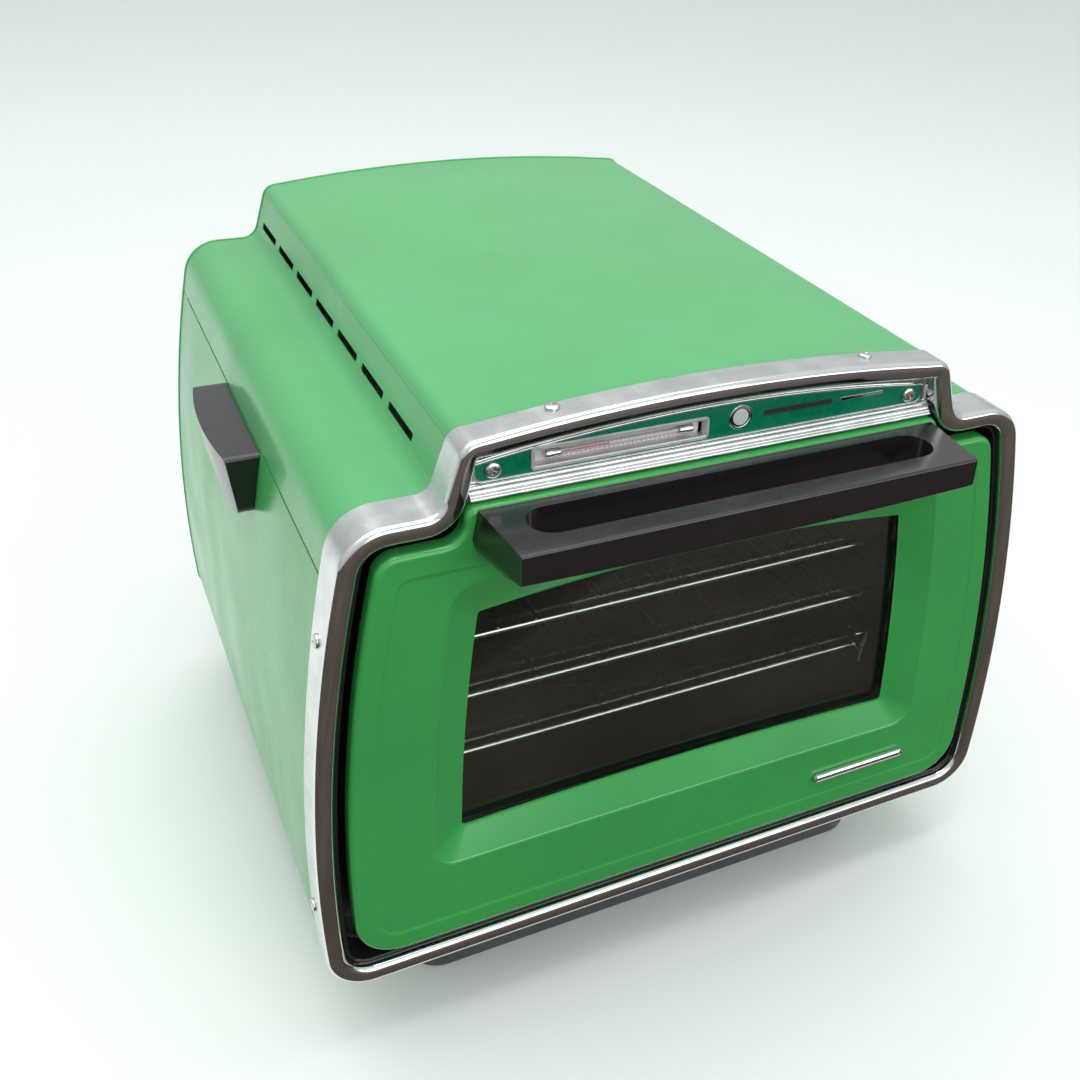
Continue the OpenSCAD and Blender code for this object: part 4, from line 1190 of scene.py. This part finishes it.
def carry_handle(s, name, node):
    """Bowed grip over an arch, with a pocket for the fingers behind its face."""
    d0, d1 = span(node, 1)
    z0, z1 = span(node, 2)
    middle, half = (d0 + d1) / 2, (d1 - d0) / 2
    reach, steps = BODY_W / 2 + 1, 6
    corner = [half - GRIP_LOW_R * (1 - cosd(a)) for a in (0, 20, 40, 60, 75, 90)]
    inner = [ARCH_HW * sind(a) for a in (90, 75, 60, 45, 30, 15, 0)]
    offsets = corner + [half - GRIP_LOW_R - 4] + inner
    shape = Shape()
    outside, inside = [], []
    for v in sorted({round(s * v, 4) for v in offsets for s in (1, -1)}):
        low, high = grip_limits(v, half, z0, z1)
        bow = BOW_R - sqrt(BOW_R**2 - v * v)
        column_out, column_in = [], []
        for k in range(steps + 1):
            z = low + (high - low) * k / steps
            x = reach - bow - (z1 - z) * tan(radians(6))
            wall = SIDE_X + sqrt((SIDE_R - COVER_I) ** 2 - (z - SIDE_Z) ** 2)
            column_out.append((s * x, middle + v, z))
            column_in.append((s * (wall + 0.02), middle + v, z))
        outside.append(shape.add(column_out))
        inside.append(shape.add(column_in))
    shape.loft(outside, closed=False)
    shape.loft(inside, closed=False)
    for k in (0, -1):
        shape.skin([row[k] for row in outside], [row[k] for row in inside], closed=False)
        shape.skin(outside[k], inside[k], closed=False)
    pocket = Shape()
    xs = sorted((s * 150, s * (reach - 9.3)))
    pocket.block(*xs, middle - 31, middle + 31, z0 - 5, z1 - 8)
    cuts = [cutter(pocket)]
    make(name, shape, "case", "bakelite", (BLACK_PLASTIC,), [node], cuts=cuts, bevel=0.8, sharp=40, limit=42)


# ---- Racks ----
def rack(name, node, rider):
    """Wire rack: a round frame, thinner bars from front to back and one cross wire under them."""
    shape = Shape()
    r, bars, spread = 2, 13, 145.5
    x1 = span(node, 0)[1] - r
    d0, d1 = (d + s * r for d, s in zip(span(node, 1), (1, -1)))
    z = span(node, 2)[0] + r
    middle = (d0 + d1) / 2
    outline = rounded(-x1, x1, d0, d1, 13, 8)
    shape.tube([(x, d, z) for x, d in outline], r - 0.02, 14, closed=True)
    run = ((d0 - 1.2, 1.2), (d0 + 3, 1.5), (middle, 1.5), (d1 - 3, 1.5), (d1 + 1.2, 1.2))
    for k in range(1, bars + 1):
        x = -spread + 2 * spread * k / (bars + 1)
        shape.tube([(x, d, z + lift) for d, lift in run], 1.15, 10)
    shape.tube([(-x1, middle, z), (0, middle, z - 0.9), (x1, middle, z)], 1.1, 10)
    make(name, shape, rider, "rack_wire", (RACK_CHROME,), [node], sharp=60)


def rack_hook():
    """Bent wire in front of the lowest rack and the straight wire that carries it."""
    shape = Shape()
    z = span("rack_lower", 2)[0] + 2
    d0, d1 = span("rack_hook", 1)
    d = d0 + 1.5
    bend = ((126.6, 14), (127.7, 13.2), (127.5, 10), (125.8, 0), (124.7, -7.2))
    shape.tube([(119.5, d + 0.2, z + 14)] + [(x, d, z + up) for x, up in bend], 1.25, 12)
    shape.tube([(125.8, depth, z) for depth in (d, d + 4, d1 + 0.5)], 1.3, 12)
    make("rack_hook_wire", shape, "rack_lower", "rack_wire", (RACK_CHROME,), ["rack_hook"], sharp=60)


# ---- CAD nodes that stay as they are ----
def dress():
    """Gives the carried-over CAD nodes their materials."""
    hinges = [f"hinge_{part}_{side}" for part in ("bracket", "pin", "leaf") for side in ("left", "right")]
    looks = {
        OVEN_ENAMEL: ("oven_liner", "flame_spreader"),
        ZINC: ("heat_funnel", "heat_shield", "glass_retainer", "base_screws")
        + ("carry_handle_screws", "handle_screws"),
        BASE_ENAMEL: ("floor_pan", "seam_rail_left", "seam_rail_right"),
        SCREW_STEEL: hinges,
        OVEN_GLASS: ("door_glass",),
        BRASS: ("thermometer_stem",),
    }
    for material, nodes in looks.items():
        for node in nodes:
            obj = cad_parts[node]
            if not obj.material_slots:
                obj.data.materials.append(material)
            for held in obj.material_slots:
                held.material = material


# ---- Studio ----
def plane(name, x0, x1, d0, d1, z, material):
    shape = Shape()
    shape.face(shape.add([(x0, d0, z), (x1, d0, z), (x1, d1, z), (x0, d1, z)]))
    obj = mesh_of(name, shape, (material,), outward=False)
    return obj


def floor():
    """A plain pale floor. In front of the oven its mirror image and its bounce are a brown card's,
    which the camera doesn't see."""
    edge, far, near = -25, (9000, 12000), 3000
    look = Look("studio_floor", (0.86, 0.88, 0.87), 0.55)
    look.use_color(look.clouds((300, 2), 0.3, 0.7, 0.99, 1.0))
    plane("studio_floor", -far[0], far[0], edge, far[1], 0, look.material)
    front = plane("studio_floor_front", -near, near, -near, edge, 0, look.material)
    front.visible_diffuse = front.visible_glossy = False
    brown = Look("brown_card", (0.085, 0.058, 0.043), 0.7)
    brown.use_color(brown.clouds((60, 3, (0.2, 1, 1)), 0.3, 0.7, 0.7, 1.35))
    below = plane("brown_card", -near, near, -near, edge, -8, brown.material)
    below.visible_camera = below.visible_transmission = False


def aimed(name, data, place, target, roll=0):
    """Puts a light or a camera at a place, looking at a target and rolled by some degrees."""
    obj = bpy.data.objects.new(name, data)
    obj.location = place
    obj.rotation_mode = "QUATERNION"
    look = (Vector(target) - Vector(place)).to_track_quat("-Z", "Y")
    obj.rotation_quaternion = look @ Quaternion((0, 0, 1), radians(roll))
    bpy.context.collection.objects.link(obj)
    return obj


def light(name, place, target, size, power):
    data = bpy.data.lights.new(name, "AREA")
    data.shape = "RECTANGLE"
    data.size, data.size_y = size
    data.energy = power
    aimed(name, data, place, target)


def studio():
    floor()
    world = bpy.data.worlds.new("studio")
    world.use_nodes = True
    nodes, links = world.node_tree.nodes, world.node_tree.links
    sky = nodes["Background"]
    sky.inputs["Color"].default_value = (0.93, 1.0, 0.97, 1)
    way = nodes.new("ShaderNodeSeparateXYZ")
    height = nodes.new("ShaderNodeMapRange")
    for socket, number in (("From Min", 0.0), ("From Max", 0.7), ("To Min", 0.50), ("To Max", 0.85)):
        height.inputs[socket].default_value = number
    links.new(nodes.new("ShaderNodeTexCoord").outputs["Generated"], way.inputs["Vector"])
    links.new(way.outputs["Z"], height.inputs["Value"])
    links.new(height.outputs["Result"], sky.inputs["Strength"])
    bpy.context.scene.world = world
    light("ceiling", (-0.3, 0.3, 2.4), (0, 0, 0.2), (2.6, 2.6), 30)
    light("tube", (0.1, -0.5, 2.2), (0, 0, 0.2), (1.3, 0.06), 5)
    light("low_fill", (0.8, -2.3, 0.72), (0, 0, 0.2), (2.8, 0.7), 13)
    light("front_fill", (0.3, -2.2, 1.5), (0, 0, 0.1), (2.0, 0.8), 7)
    bpy.context.scene.view_settings.view_transform = "Standard"


def camera():
    """The photograph's angle: above, from the front left."""
    data = bpy.data.cameras.new("camera")
    data.lens, data.sensor_width = 40.9, 36
    data.shift_x, data.shift_y = -0.0997, -0.0014
    place, target = (-0.2765, -0.6192, 0.6101), (-0.0390, -0.1790, 0.30035)
    bpy.context.scene.camera = aimed("camera", data, place, target, 3.556)


chrome_frame()
jamb_and_wall()
top_cover()
side_panel(1, "right_panel_shell", "right_side_panel")
side_panel(-1, "left_panel_shell", "left_side_panel")
rear_panel()
base_skirt()
screws()
tray()
name_plate()
emblem()
ribbed_strip()
bezel()
scale()
glass_tube()
door_skin()
door_pan()
rope_gasket()
badge()
door_handle()
carry_handle(1, "right_grip", "carry_handle_right")
carry_handle(-1, "left_grip", "carry_handle_left")
rack("upper_rack_wires", "rack_upper", "rack_upper")
rack("middle_rack_wires", "rack_middle", "rack_middle")
rack("lower_rack_wires", "rack_lower", "rack_lower")
rack_hook()
dress()
studio()
camera()
